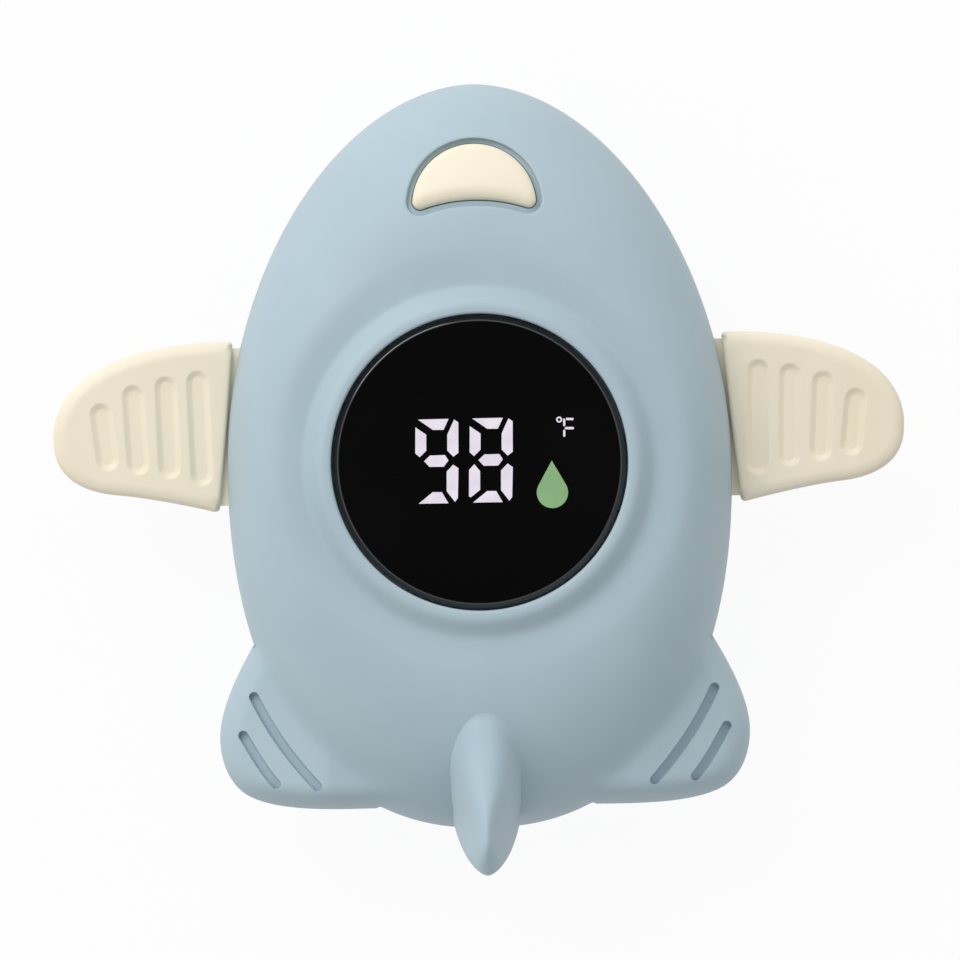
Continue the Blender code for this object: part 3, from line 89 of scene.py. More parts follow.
def ring_of(radius, x=0.0, y=0.0, steps=48):
    """Circle of one radius about a point, as a closed outline."""
    return arc((x, y), radius, 0, 2 * pi, steps)[:-1]


def distance(line, x, y, closed=False):
    """Shortest distance to a line of points: the foot on each run between two points is kept between them."""
    start = line if closed else line[:-1]
    run = (np.roll(line, -1, 0) if closed else line[1:]) - start
    nearest = np.full(len(x), np.inf)
    for (x0, y0), (dx, dy) in zip(start, run):
        share = np.clip(((x - x0) * dx + (y - y0) * dy) / (dx * dx + dy * dy + 1e-12), 0, 1)
        np.minimum(nearest, np.hypot(x - x0 - share * dx, y - y0 - share * dy), out=nearest)
    return nearest


def within(loop, x, y):
    """Points inside a closed outline: a line to the right crosses it an odd number of times."""
    inside = np.zeros(len(x), bool)
    for (x0, y0), (x1, y1) in zip(loop, np.roll(loop, -1, 0)):
        if y0 != y1:
            inside ^= ((y0 > y) != (y1 > y)) & (x < x0 + (y - y0) * (x1 - x0) / (y1 - y0))
    return inside


def smooth_step(low, high, value):
    """Share that rises from 0 at low to 1 at high as 3s^2 - 2s^3."""
    share = np.clip((value - low) / (high - low), 0, 1)
    return share * share * (3 - 2 * share)


def smooth_max(first, second, width):
    """The larger of two heights, raised by (width - difference)^2 / (4 width) where they are nearly equal."""
    near = np.clip(width - np.abs(first - second), 0, None)
    return np.maximum(first, second) + near ** 2 / (4 * np.maximum(width, 1e-6))


def sheet(loops, rows, spacing, height):
    """Surface z = height(x, y) inside the first loop and outside the others, over rows and even points."""
    lines = [*loops, *rows]
    points = np.vstack(lines)
    starts = np.cumsum([0] + [len(line) for line in lines])
    edges = np.vstack([np.column_stack([np.arange(len(line)), np.roll(np.arange(len(line)), -1)]) + start
                       for line, start in zip(lines, starts)])
    low, high = loops[0].min(0), loops[0].max(0)
    row_height = 0.866 * spacing          # rows of even triangles
    cell = 0.6 * spacing                  # no even point lies nearer to a line than about this
    gx, gy = np.meshgrid(np.arange(low[0] + spacing / 3, high[0], spacing),
                         np.arange(low[1] + spacing / 3, high[1], row_height))
    gx[1::2] += spacing / 2
    scatter = np.column_stack([gx.ravel(), gy.ravel()])
    shape = tuple(((high - low) / cell).astype(int) + 4)
    taken = np.zeros(shape, bool)
    column, line = ((points - low) / cell).astype(int).T + 1
    for step_x in (-1, 0, 1):
        for step_y in (-1, 0, 1):
            taken[np.clip(column + step_x, 0, None), np.clip(line + step_y, 0, None)] = True
    column, line = ((scatter - low) / cell).astype(int).T + 1
    scatter = scatter[~taken[column, line]]

    def covered(places):
        """Points inside the first loop and outside the others."""
        keep = within(loops[0], *places.T)
        for hole in loops[1:]:
            keep &= ~within(hole, *places.T)
        return keep

    plan = np.vstack([points, scatter[covered(scatter)]])
    result = delaunay_2d_cdt(plan.tolist(), edges.tolist(), [], 0, 1e-7)
    plan = np.array(result[0])
    triangles = np.array(result[2])
    triangles = triangles[covered(plan[triangles].mean(1))]
    used, triangles = np.unique(triangles, return_inverse=True)
    plan = plan[used]
    return np.column_stack([plan, height(*plan.T)]), triangles.reshape(-1, 3)


def at(loop, z):
    """A closed outline lifted to one height, or to one height for each of its points."""
    return np.column_stack([loop, np.broadcast_to(z, len(loop))])


def strip(rows):
    """Band of quads through closed rows of equally many points, one row after the other."""
    rows = np.array(rows)
    count, length = rows.shape[:2]
    index = np.arange(count * length).reshape(count, length)
    after = np.roll(index, -1, axis=1)
    quads = np.stack([index[:-1], after[:-1], after[1:], index[1:]], axis=-1)
    return rows.reshape(-1, 3), quads.reshape(-1, 4)


def put(name, surfaces, material, body, crease=50):
    """One piece from surfaces of points and faces: shared rims are welded and the faces turned outwards."""
    faces, first = [], 0
    for points, *parts in surfaces:
        for part in parts:
            faces += (np.array(part) + first).tolist()
        first += len(points)
    points = np.vstack([surface[0] for surface in surfaces])
    mesh = bpy.data.meshes.new(name)
    mesh.from_pydata(((points + (0, DISPLAY_Y, 0)) * MM).tolist(), [], faces)
    work = bmesh.new()
    work.from_mesh(mesh)
    bmesh.ops.remove_doubles(work, verts=work.verts, dist=WELD * MM)
    bmesh.ops.recalc_face_normals(work, faces=work.faces)
    work.to_mesh(mesh)
    work.free()
    mesh.shade_smooth()
    mesh.set_sharp_from_angle(angle=radians(crease))
    mesh.materials.append(material)
    piece = bpy.data.objects.new(name, mesh)
    bpy.context.scene.collection.objects.link(piece)
    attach(piece, body)
    return piece


def linear(colour):
    """Linear value of a screen colour of 0 to 255: (share + 0.055) / 1.055 to the power 2.4."""
    share = np.array(colour) / 255
    value = np.where(share <= 0.04045, share / 12.92, ((share + 0.055) / 1.055) ** 2.4)
    return (*value.tolist(), 1)


def wire(tree, runs):
    """Links in a node tree: each run is a node, its outlet, the next node and its inlet."""
    for start, outlet, end, inlet in runs:
        tree.links.new(start.outputs[outlet], end.inputs[inlet])


PATCH_EDGES = (0.35, 0.65)              # values of the noise between which the first tone becomes the second


def moulded(name, colour, second, patch, roughness, grain, bump, metallic=0.0, coat=0.0, sheen=0.0):
    """Moulded or metal finish: two close tones in soft patches, and a fine grain in roughness and relief."""
    material = bpy.data.materials.new(name)
    material.use_nodes = True
    tree = material.node_tree
    shader = tree.nodes["Principled BSDF"]
    place = tree.nodes.new("ShaderNodeTexCoord")
    patches = tree.nodes.new("ShaderNodeTexNoise")
    fine = tree.nodes.new("ShaderNodeTexNoise")
    for node, scale, detail in ((patches, patch, 3.0), (fine, grain, 2.0)):
        node.inputs["Scale"].default_value = scale
        node.inputs["Detail"].default_value = detail
    tones = tree.nodes.new("ShaderNodeValToRGB")
    for stop, place_of_stop, tone in zip(tones.color_ramp.elements, PATCH_EDGES, (colour, second)):
        stop.position = place_of_stop
        stop.color = linear(tone)
    spread = tree.nodes.new("ShaderNodeMapRange")
    spread.inputs["To Min"].default_value, spread.inputs["To Max"].default_value = roughness
    relief = tree.nodes.new("ShaderNodeBump")
    relief.inputs["Strength"].default_value = 1.0
    relief.inputs["Distance"].default_value = bump * MM
    wire(tree, (
        (place, "Object", patches, "Vector"), (place, "Object", fine, "Vector"),
        (patches, "Fac", tones, "Fac"), (tones, "Color", shader, "Base Color"), (fine, "Fac", spread, "Value"),
        (spread, "Result", shader, "Roughness"), (fine, "Fac", relief, "Height"),
        (relief, "Normal", shader, "Normal")))
    shader.inputs["Metallic"].default_value = metallic
    shader.inputs["Coat Weight"].default_value = coat
    shader.inputs["Sheen Weight"].default_value = sheen
    return material


blue_soft_touch = moulded("blue_soft_touch", (168, 188, 198), (172, 192, 201), 60, (0.5, 0.62), 3500, 0.004,
                          sheen=0.08)

# the tailplanes' edge, seen from above, as three curves
TAIL_FRONT = ((28.0, -20.5), (30.2, -24.3), (33.8, -30.0), (33.8, -34.7))
TAIL_CORNER = ((33.8, -34.7), (33.8, -37.38), (32.78, -40.63), (30.14, -42.04))
TAIL_REAR = ((30.14, -42.04), (26.14, -44.18), (18.31, -43.87), (14.0, -43.87))
tail_edge = np.vstack([cubic(TAIL_FRONT, 30)[:-1], cubic(TAIL_CORNER, 24)[:-1], cubic(TAIL_REAR, 30)])
TAIL_ROUND = 3.0          # radius of a tailplane's edge in plan
TAIL_ROOT_X, TAIL_TIP_X = 20.0, 33.8
TAIL_ROOT_HALF, TAIL_TIP_HALF = 8.2, 4.4
TAIL_RUN_ON = 12          # length by which the edge is run on at its ends, inside the body
TAIL_INSIDE = (-10.0, 30.0)             # a point inside the body, by which its outline is closed
FALL = 3                  # slope at which a form drops away beyond its own edge


def outline_reach(angle):
    """Distance of the whole blue outline: the larger of the body's and the tailplanes' on either side."""
    folded = np.arctan2(np.sin(angle), np.abs(np.cos(angle)))
    edge_angle = np.arctan2(*tail_edge.T[::-1])[::-1]
    edge_reach = np.hypot(*tail_edge.T)[::-1]
    return np.maximum(reach(angle), np.interp(folded, edge_angle, edge_reach, left=0, right=0))


def tail_depth(x, y):
    """How far a point lies inside a tailplane's edge, negative outside; the edge runs on straight."""
    ends = tail_edge[[0, -1]]
    before = tail_edge[[1, -2]]
    first, last = ends + TAIL_RUN_ON * (ends - before) / np.hypot(*(ends - before).T)[:, None]
    line = np.vstack([first, tail_edge, last])
    closing = np.array([(TAIL_INSIDE[0], last[1]), TAIL_INSIDE, (first[0], TAIL_INSIDE[1])])
    x = np.abs(x)
    return np.where(within(np.vstack([line, closing]), x, y), 1, -1) * distance(line, x, y)


def tail_half(x, y):
    """Half thickness of a tailplane: an even taper outwards, with its edge rounded as a quarter ellipse."""
    share = np.clip((np.abs(x) - TAIL_ROOT_X) / (TAIL_TIP_X - TAIL_ROOT_X), 0, 1)
    half = TAIL_ROOT_HALF + (TAIL_TIP_HALF - TAIL_ROOT_HALF) * share
    depth = tail_depth(x, y)
    edge = np.clip(depth / TAIL_ROUND, 0, 1)
    return np.where(depth > 0, half * np.sqrt(edge * (2 - edge)), FALL * depth)


turn = 2 * pi * (np.arange(DIRECTIONS) + 0.5) / DIRECTIONS
heading = np.column_stack([np.cos(turn), np.sin(turn)])
inside_loop = heading * (reach(turn) - WALL)[:, None]


def outline_rows(lifts, inner, power):
    """Rows inside the blue outline: offset (reach - inner) (1 - cos(lift)^(2/power)) along each direction."""
    outline = outline_reach(turn)
    rows = []
    for lift in lifts:
        away = outline - (outline - inner) * (1 - np.cos(radians(lift)) ** (2 / power))
        rows.append(heading * away[:, None])
    return rows


RIM_CHAMFER = 0.12


def rim(height, step):
    """Rim of a shell: from the outline's edge over a small chamfer to the flat rim, and in to the wall."""
    outline = outline_reach(turn)
    return strip([at(heading * outline[:, None], height + step * RIM_CHAMFER),
                  at(heading * (outline - RIM_CHAMFER)[:, None], height), at(inside_loop, height)])


BELLY_SHARE = 0.68        # flat part of the belly, as a share of the outline
FOOT_BLEND = 2.2          # how softly a tailplane grows out of the body
HULL_FADE, TOP_FADE = 2.5, 1.2          # distances from the rim over which that softness comes in


def belly(x, y):
    """Height of the hull's outside: flat in the middle, then a quarter ellipse up to the parting plane."""
    angle = np.arctan2(y, x)
    share = np.hypot(x, y) / reach(angle)
    turned = np.clip((share - BELLY_SHARE) / (1 - BELLY_SHARE), 0, 1)
    rise = PARTING * (1 - np.sqrt(1 - turned ** 2))
    return np.where(share > 1, PARTING + FALL * (share - 1) * reach(angle), rise)


def hull_outside(x, y):
    """Hull and tailplanes together: the smooth minimum of their heights, fading to none at the rim."""
    clear = outline_reach(np.arctan2(y, x)) - np.hypot(x, y)
    blend = FOOT_BLEND * smooth_step(0, HULL_FADE, clear)
    height = -smooth_max(-belly(x, y), tail_half(x, y) - PARTING, blend)
    rim_height = PARTING - SEAM - RIM_CHAMFER
    return np.where(clear < ON_LINE, rim_height, np.minimum(height, rim_height))


def hull_inside(x, y):
    """Inside of the hull: the same form one wall further in."""
    angle = np.arctan2(y, x)
    share = np.hypot(x, y) / (reach(angle) - WALL)
    turned = np.clip((share + ON_LINE / 10 - BELLY_SHARE) / (1 - BELLY_SHARE), 0, 1)
    return WALL + (PARTING - SEAM - WALL) * (1 - np.sqrt(1 - turned ** 2))


def middle_of(node):
    """Middle of a node of the frame in plan, in millimetres from the display's axis."""
    low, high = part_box(node)
    return (low[0] + high[0]) / 2 / MM, (low[1] + high[1]) / 2 / MM - DISPLAY_Y


SCREW_NODES = [f"case_screw_{end}_{side}" for end in ("front", "rear") for side in ("left", "right")]
SCREW_PLACES = [middle_of(node) for node in SCREW_NODES]
SCREW_WELL, SCREW_TUBE, SCREW_SEAT, SCREW_HOLE = 2.8, 3.8, 10.9, 1.4
TUBE_TOP = PARTING - 0.2
PROBE_Y, PROBE_HOLE, PROBE_PAD, PROBE_SEAT = 33.5, 3.5, 4.9, 3.6
DOOR_HALF_WIDTH, DOOR_REAR, DOOR_FRONT = 13.625, -29.0, 25.6
DOOR_CORNER, DOOR_EAR, DOOR_SCREW_Y = 4.0, 3.8, -30.4
DOOR_EAR_ROOT, DOOR_GAP = 0.4, 0.3


def door_outline(grow):
    """Rectangle with round corners and a round ear for the screw at its rear, grown evenly."""
    half, corner, ear = DOOR_HALF_WIDTH + grow, DOOR_CORNER + grow, DOOR_EAR + grow
    rear, front = DOOR_REAR - grow, DOOR_FRONT + grow
    lift = np.arcsin((rear - DOOR_EAR_ROOT - DOOR_SCREW_Y) / ear)
    return np.vstack([arc((half - corner, front - corner), corner, 0, pi / 2, 16),
                      arc((corner - half, front - corner), corner, pi / 2, pi, 16),
                      arc((corner - half, rear + corner), corner, pi, 1.5 * pi, 16),
                      arc((0, DOOR_SCREW_Y), ear, pi - lift, 2 * pi + lift, 36),
                      arc((half - corner, rear + corner), corner, 1.5 * pi, 2 * pi, 16)])


def edge_round(radius, loop, x, y, closed=True):
    """Drop of a rounded edge: radius minus the height of a quarter circle over the distance from the loop."""
    depth = np.clip(distance(loop, x, y, closed) - ON_LINE, 0, radius)
    return radius - np.sqrt(radius ** 2 - (radius - depth) ** 2)


ROUND_SHARES = (0.0, 0.05, 0.18, 0.38, 0.66, 1.0)       # where rows of points lie on a rounded edge
HULL_EDGE = 0.4           # radius on the edges of the holes in the belly
HULL_ROWS = (0, 4, 8, 13, 19, 26, 33)   # the last stays clear of the holes
HULL_SPACING, HULL_INSIDE_SPACING = 0.7, 2.0
hull_holes = [door_outline(DOOR_GAP), ring_of(PROBE_HOLE, 0, PROBE_Y)]
hull_holes += [ring_of(SCREW_WELL, x, y) for x, y in SCREW_PLACES]
hull_rows = outline_rows(HULL_ROWS, 0.0, 2.0)
hole_rows = []
for share in ROUND_SHARES[1:]:
    hole_rows.append(door_outline(DOOR_GAP + share * HULL_EDGE))
    hole_rows.append(ring_of(PROBE_HOLE + share * HULL_EDGE, 0, PROBE_Y))
    hole_rows += [ring_of(SCREW_WELL + share * HULL_EDGE, x, y) for x, y in SCREW_PLACES]


def hull_skin(x, y):
    """Outside of the hull with the edges of its holes rounded."""
    height = hull_outside(x, y)
    for hole in hull_holes:
        height = height + edge_round(HULL_EDGE, hole, x, y)
    return height


door_hole, probe_hole = hull_holes[:2]
probe_pad = ring_of(PROBE_PAD, 0, PROBE_Y)
inside_holes = [door_hole, probe_pad]
inside_holes += [ring_of(SCREW_TUBE, x, y) for x, y in SCREW_PLACES]
hull_surfaces = [
    sheet([hull_rows[0], *hull_holes], [*hull_rows[1:], *hole_rows], HULL_SPACING, hull_skin),
    sheet([inside_loop, *inside_holes], [], HULL_INSIDE_SPACING, hull_inside),
    rim(PARTING - SEAM, -1),
    strip([at(door_hole, HULL_EDGE + hull_outside(*door_hole.T)), at(door_hole, hull_inside(*door_hole.T))]),
    strip([at(probe_hole, HULL_EDGE + hull_outside(*probe_hole.T)), at(probe_hole, PROBE_SEAT),
           at(probe_pad, PROBE_SEAT), at(probe_pad, hull_inside(*probe_pad.T))])]
for x, y in SCREW_PLACES:
    well, hole, tube = ring_of(SCREW_WELL, x, y), ring_of(SCREW_HOLE, x, y), ring_of(SCREW_TUBE, x, y)
    hull_surfaces.append(strip([
        at(well, HULL_EDGE + hull_outside(*well.T)), at(well, SCREW_SEAT), at(hole, SCREW_SEAT),
        at(hole, TUBE_TOP), at(tube, TUBE_TOP), at(tube, hull_inside(*tube.T))]))
lower = put("hull_moulding", hull_surfaces, blue_soft_touch, "case")
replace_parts(lower, "lower_shell")


# Upper shell. The second blue moulding: a dome with a raised ring round the display, a crescent recess for
# the button, two tailplanes with two grooves each, and a swept fin. It is moulded in one, so its forms flow
# together.

RISE, CROWN_POWER = 17.5, 2.2
VALLEY = 22.2             # radius at which the dome begins
LENS_OPENING, LEDGE_RADIUS = 18.79, 16.3
LEDGE_TOP, LEDGE_LOW = 31.2, 29.6
RING_CREST, RING_OUTSIDE, RING_HEIGHT = 19.7, 22.5, 1.7
LENS_EDGE = 0.4
MOAT_OUTSIDE = 27.6
MOAT_AHEAD, MOAT_BESIDE = 0.25, 0.75    # its depth ahead and behind, and what is added at the sides


def crown(x, y):
    """Dome, moat and ring: rise times sqrt(1 - s^2.2), less half a cosine wave, plus half a cosine wave."""
    angle, away = np.arctan2(y, x), np.hypot(x, y)
    share = np.clip((away - VALLEY) / (reach(angle) - VALLEY), 0, None)
    dome = PARTING + RISE * np.sqrt(np.clip(1 - share ** CROWN_POWER, 0, None))
    dome = np.where(share > 1, PARTING - FALL * (away - reach(angle)), dome)
    moat = MOAT_AHEAD + MOAT_BESIDE * np.cos(angle) ** 2
    fall = np.clip((away - RING_OUTSIDE) / (MOAT_OUTSIDE - RING_OUTSIDE), 0, 1)
    climb = np.clip((away - RING_CREST) / (RING_OUTSIDE - RING_CREST), 0, 1)
    bulge = (1 + np.cos(pi * climb)) / 2
    return dome - moat * (1 + np.cos(pi * fall)) / 2 * (1 - bulge) + RING_HEIGHT * bulge


BUTTON_ROUND, BUTTON_HOLLOW, BUTTON_CORNER = 7.87, 20.4, 1.0            # radii
BUTTON_MIDDLE, BUTTON_WAIST = 32.5, 33.18               # centre of its front, and where its hollow side ends
BUTTON_GAP, BUTTON_CLEAR, GROOVE_DEPTH = 0.72, 0.1, 1.0
WELL_FLOOR, WELL_UNDER, WELL_WALL = 25.5, 24.3, 1.5
POST_Y, POST_HOLE = 36.2, 2.2


def crescent(grow):
    """Crescent: a front circle and a hollow circle joined by two corner circles that touch both."""
    front, hollow = BUTTON_ROUND + grow, BUTTON_HOLLOW - grow
    corner = BUTTON_CORNER + grow
    hollow_y = BUTTON_WAIST - BUTTON_HOLLOW
    near, far, apart = front - corner, hollow + corner, BUTTON_MIDDLE - hollow_y
    along = (far ** 2 - near ** 2 + apart ** 2) / (2 * apart)
    x, y = np.sqrt(far ** 2 - along ** 2), hollow_y + along
    tilt, lean = np.arctan2(y - BUTTON_MIDDLE, x), np.arctan2(y - hollow_y, x)
    return np.vstack([arc((0, BUTTON_MIDDLE), front, tilt, pi - tilt, 90)[:-1],
                      arc((-x, y), corner, pi - tilt, 2 * pi - lean, 20)[:-1],
                      arc((0, hollow_y), hollow, pi - lean, lean, 56)[:-1],
                      arc((x, y), corner, lean - pi, tilt, 20)[:-1]])


TAIL_SLOTS = (((29.3, -29.28), (27.5, -32.7), (25.0, -36.5), (21.42, -40.84)),
              ((30.78, -34.17), (29.6, -36.2), (28.3, -38.3), (26.65, -40.5)))
TAIL_SLOT_DEPTH = 1.1
TAIL_SLOT_WALL = (0.46, 0.66)           # distances from the middle line between which its wall falls
SLOT_ROWS = (0.9, 0.7, 0.66, 0.62, 0.58, 0.54, 0.5, 0.46, 0.4)


def through(points, steps=40):
    """Smooth line through four points: a cubic polynomial of the point's number for either coordinate."""
    number = np.linspace(0, 3, steps)
    return np.column_stack([np.polyval(np.polyfit(range(4), axis, 3), number) for axis in np.array(points).T])


slot_lines = [through(line) * (side, 1) for side in (-1, 1) for line in TAIL_SLOTS]


def capsule(line, half):
    """Outline of a slot: the line moved sideways both ways by its half width, with round ends."""
    run = np.gradient(line, axis=0)
    run /= np.hypot(*run.T)[:, None]
    side = np.column_stack([-run[:, 1], run[:, 0]]) * half
    first, last = np.arctan2(*run[0][::-1]), np.arctan2(*run[-1][::-1])
    return np.vstack([line + side, arc(line[-1], half, last + pi / 2, last - pi / 2, 12)[1:-1],
                      (line - side)[::-1], arc(line[0], half, first - pi / 2, first - 3 * pi / 2, 12)[1:-1]])


def blue_top(x, y):
    """Dome and tailplanes as one surface: the smooth maximum of both heights, fading to none at the rim."""
    clear = outline_reach(np.arctan2(y, x)) - np.hypot(x, y)
    blend = FOOT_BLEND * smooth_step(0, TOP_FADE, clear)
    height = smooth_max(crown(x, y), PARTING + tail_half(x, y), blend)
    rim_height = PARTING + SEAM + RIM_CHAMFER
    return np.where(clear < ON_LINE, rim_height, np.maximum(height, rim_height))


RECESS_EDGE = 0.35        # radius on the recess's edge
recess = crescent(BUTTON_GAP)
TUB_INSIDE, TUB_OUTSIDE = 0.02, 0.05    # the tub's wall falls between these distances from its line
RING_ROWS = (19.6, 24.2, 0.4)           # first and last radius of the rows on the ring, and their distance
TOP_ROWS = (0, 3, 6, 10, 14, 19, 24, 30)
RECESS_ROWS = (*ROUND_SHARES[1:], 1.6, 2.4)
TOP_SPACING, TOP_INSIDE_SPACING, WELL_SPACING = 0.55, 1.6, 2.0
RING_STEPS = 360


def upper_skin(x, y):
    """Outside of the upper shell with the recess's rounded edge, the lens opening's edge and the grooves."""
    height = blue_top(x, y) - edge_round(RECESS_EDGE, recess, x, y)
    lens_depth = np.clip(np.hypot(x, y) - LENS_OPENING, 0, LENS_EDGE)
    height -= LENS_EDGE - np.sqrt(LENS_EDGE ** 2 - (LENS_EDGE - lens_depth) ** 2)
    for line in slot_lines:
        height -= TAIL_SLOT_DEPTH * (1 - smooth_step(*TAIL_SLOT_WALL, distance(line, x, y)))
    return height


def upper_inside(x, y):
    """Inside of the dome one wall further in, with a flat tub round the button's well."""
    angle, away = np.arctan2(y, x), np.hypot(x, y)
    share = np.clip((away + ON_LINE - VALLEY) / (reach(angle) - WALL - VALLEY), 0, 1)
    dome = PARTING + SEAM + (LEDGE_LOW - PARTING - SEAM) * np.sqrt(1 - share ** CROWN_POWER)
    tub = within(crescent(BUTTON_GAP + WELL_WALL + TUB_INSIDE), x, y)
    return np.where(tub, np.minimum(dome, WELL_UNDER), dome)


ring_rows = [ring_of(LENS_OPENING + share * LENS_EDGE, steps=RING_STEPS) for share in ROUND_SHARES]
ring_rows += [ring_of(radius, steps=RING_STEPS) for radius in np.arange(*RING_ROWS)]
upper_rows = outline_rows(TOP_ROWS, VALLEY, CROWN_POWER)
recess_rows = [crescent(BUTTON_GAP + share * RECESS_EDGE) for share in RECESS_ROWS]
groove_rows = [capsule(line, half) for line in slot_lines for half in SLOT_ROWS]
post_ring = ring_of(POST_HOLE, 0, POST_Y)
tub_rows = [crescent(BUTTON_GAP + WELL_WALL + away) for away in (0, TUB_OUTSIDE)]
opening = ring_of(LENS_OPENING, steps=RING_STEPS)
ledge_edge = ring_of(LEDGE_RADIUS, steps=RING_STEPS)
ledge_ring = ring_of(LENS_OPENING + WALL, steps=RING_STEPS)
button_well = crescent(BUTTON_CLEAR)
groove_floor = blue_top(*recess.T) - GROOVE_DEPTH
upper_surfaces = [
    sheet([upper_rows[0], opening, recess],
          [*ring_rows[1:], *upper_rows[1:], *recess_rows, *groove_rows], TOP_SPACING, upper_skin),
    sheet([inside_loop, ledge_ring, post_ring], tub_rows, TOP_INSIDE_SPACING, upper_inside),
    rim(PARTING + SEAM, 1),
    strip([at(opening, PARTING + RISE + RING_HEIGHT - LENS_EDGE), at(opening, LEDGE_TOP),
           at(ledge_edge, LEDGE_TOP), at(ledge_edge, LEDGE_LOW), at(ledge_ring, LEDGE_LOW)]),
    strip([at(recess, blue_top(*recess.T) - RECESS_EDGE), at(recess, groove_floor),
           at(button_well, groove_floor), at(button_well, WELL_FLOOR)]),
    sheet([button_well, post_ring], [], WELL_SPACING, lambda x, y: np.full(len(x), WELL_FLOOR)),
    strip([at(post_ring, WELL_FLOOR), at(post_ring, WELL_UNDER)])]

FIN_FRONT, FIN_END, FIN_HALF = -31.5, -52.2, 4.7
FIN_WIDEST, FIN_LEAVE, FIN_PEAK, FIN_ROUND = 0.42, 0.62, 0.78, 0.8      # shares of its length
FIN_REAR, FIN_RISE, FIN_LIFT = (2.3, 0.6), 0.9, 0.9     # powers: rear in plan, rise of top and of seat
FIN_TOP, FIN_DROP, FIN_TIP = 42.0, 3.0, 2.6
FIN_SINK, FIN_SINK_NEAR = 0.02, 0.05    # how far its hidden sides lie under the dome, and how near they start
FIN_DEPTH, FIN_FOOT = 3.0, 0.4          # how deep its seat lies in the dome, and the underside below that
FIN_BLEND, FIN_BLEND_FROM = 2.6, 0.3    # the hollow between fin and dome, and where it starts to fade
FIN_BOUND = (FIN_LEAVE - 0.12, FIN_LEAVE - 0.04)        # where the fin comes free of the dome
FIN_SECTION, FIN_SECTION_REAR, FIN_SECTION_TIP = 2.5, 0.8, 0.3          # p: less at the rear, more at the tip
FIN_SIDE, FIN_SIDE_TIP = 0.85, 0.35                     # q: less at the tip
FIN_THINS = (0.45, 0.75)
FIN_THINNEST = 0.002


def fin_surface(across, along):
    """Swept fin over two parameters: a section (1 - u^p)^q that is a soft tent over the body and an ellipse
    at the tip, melts into the dome by a smooth maximum, and is closed by an underside that leaves it."""
    place = ((1 - np.cos(np.linspace(0, pi, along))) / 2)[:, None]
    y = FIN_FRONT + (FIN_END - FIN_FRONT) * place
    front = np.sqrt(1 - (1 - np.minimum(place / FIN_WIDEST, 1)) ** 2)
    rear = (1 - np.clip((place - FIN_WIDEST) / (1 - FIN_WIDEST), 0, 1) ** FIN_REAR[0]) ** FIN_REAR[1]
    width = FIN_HALF * np.where(place < FIN_WIDEST, front, rear)
    leave_y = FIN_FRONT + (FIN_END - FIN_FRONT) * FIN_LEAVE
    surface = crown(np.zeros(along), np.maximum(y[:, 0], leave_y))[:, None]
    start = crown(np.zeros(1), np.array([FIN_FRONT]))[0] - FIN_BLEND
    top = start + (FIN_TOP - start) * np.sin(np.clip(place / FIN_PEAK, 0, 1) * pi / 2) ** FIN_RISE
    top = top - FIN_DROP * (np.clip(place - FIN_PEAK, 0, None) / (1 - FIN_PEAK)) ** 2
    free = np.clip((place - FIN_LEAVE) / (1 - FIN_LEAVE), 0, 1)
    low = surface - FIN_DEPTH - FIN_FOOT
    low = low + (FIN_TOP - FIN_DROP - FIN_TIP - low) * free
    middle = (top + low) / 2
    closing = np.sqrt(1 - np.clip((place - FIN_ROUND) / (1 - FIN_ROUND), 0, 1) ** 2)
    top, low = middle + (top - middle) * closing, middle + (low - middle) * closing
    seat = surface - FIN_DEPTH
    seat = seat + (middle - seat) * free ** FIN_LIFT
    blend = FIN_BLEND * (1 - smooth_step(FIN_BLEND_FROM, FIN_BOUND[0], place))
    spread = np.sin(np.linspace(-1, 1, across)[None, :] * pi / 2)
    x = spread * width
    share = np.abs(spread)
    tip = smooth_step(FIN_ROUND, 1, place)
    power = FIN_SECTION - FIN_SECTION_REAR * smooth_step(*FIN_THINS, place) + FIN_SECTION_TIP * tip
    root = FIN_SIDE - FIN_SIDE_TIP * tip
    roof = seat + (top - seat) * (1 - share ** power) ** root
    dome = crown(x.ravel(), np.broadcast_to(y, x.shape).ravel()).reshape(x.shape)
    bound = 1 - smooth_step(*FIN_BOUND, place)
    joined = smooth_max(roof, dome, blend)
    joined = joined - FIN_SINK * (1 + 3 * place) * np.exp(-((joined - dome) / FIN_SINK_NEAR) ** 2)
    roof = roof + (joined - roof) * bound
    under = seat - (seat - low) * np.sqrt(1 - share ** 2)
    loose = np.minimum(under, roof - FIN_THINNEST)
    under = loose + (np.minimum(under, dome - FIN_DEPTH) - loose) * bound
    over = np.stack([x, np.broadcast_to(y, x.shape), roof], axis=-1)
    below = np.stack([x, np.broadcast_to(y, x.shape), under], axis=-1)[:, ::-1]
    rows = np.concatenate([over, below], axis=1)
    points, quads = strip(rows)
    count = 2 * across
    caps = np.array([np.arange(across - 1), np.arange(1, across),
                     count - 1 - np.arange(1, across), count - 1 - np.arange(across - 1)]).T
    return points, quads, caps, caps + (along - 1) * count


upper_surfaces.append(fin_surface(81, 110))
upper = put("top_moulding", upper_surfaces, blue_soft_touch, "case")
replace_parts(upper, "upper_shell")


# Display window. A round cover of smoked plastic with a small chamfer, glued into the ring, with the lit
# figures behind it: two seven-stroke digits, a degree sign with its letter, and a drop.

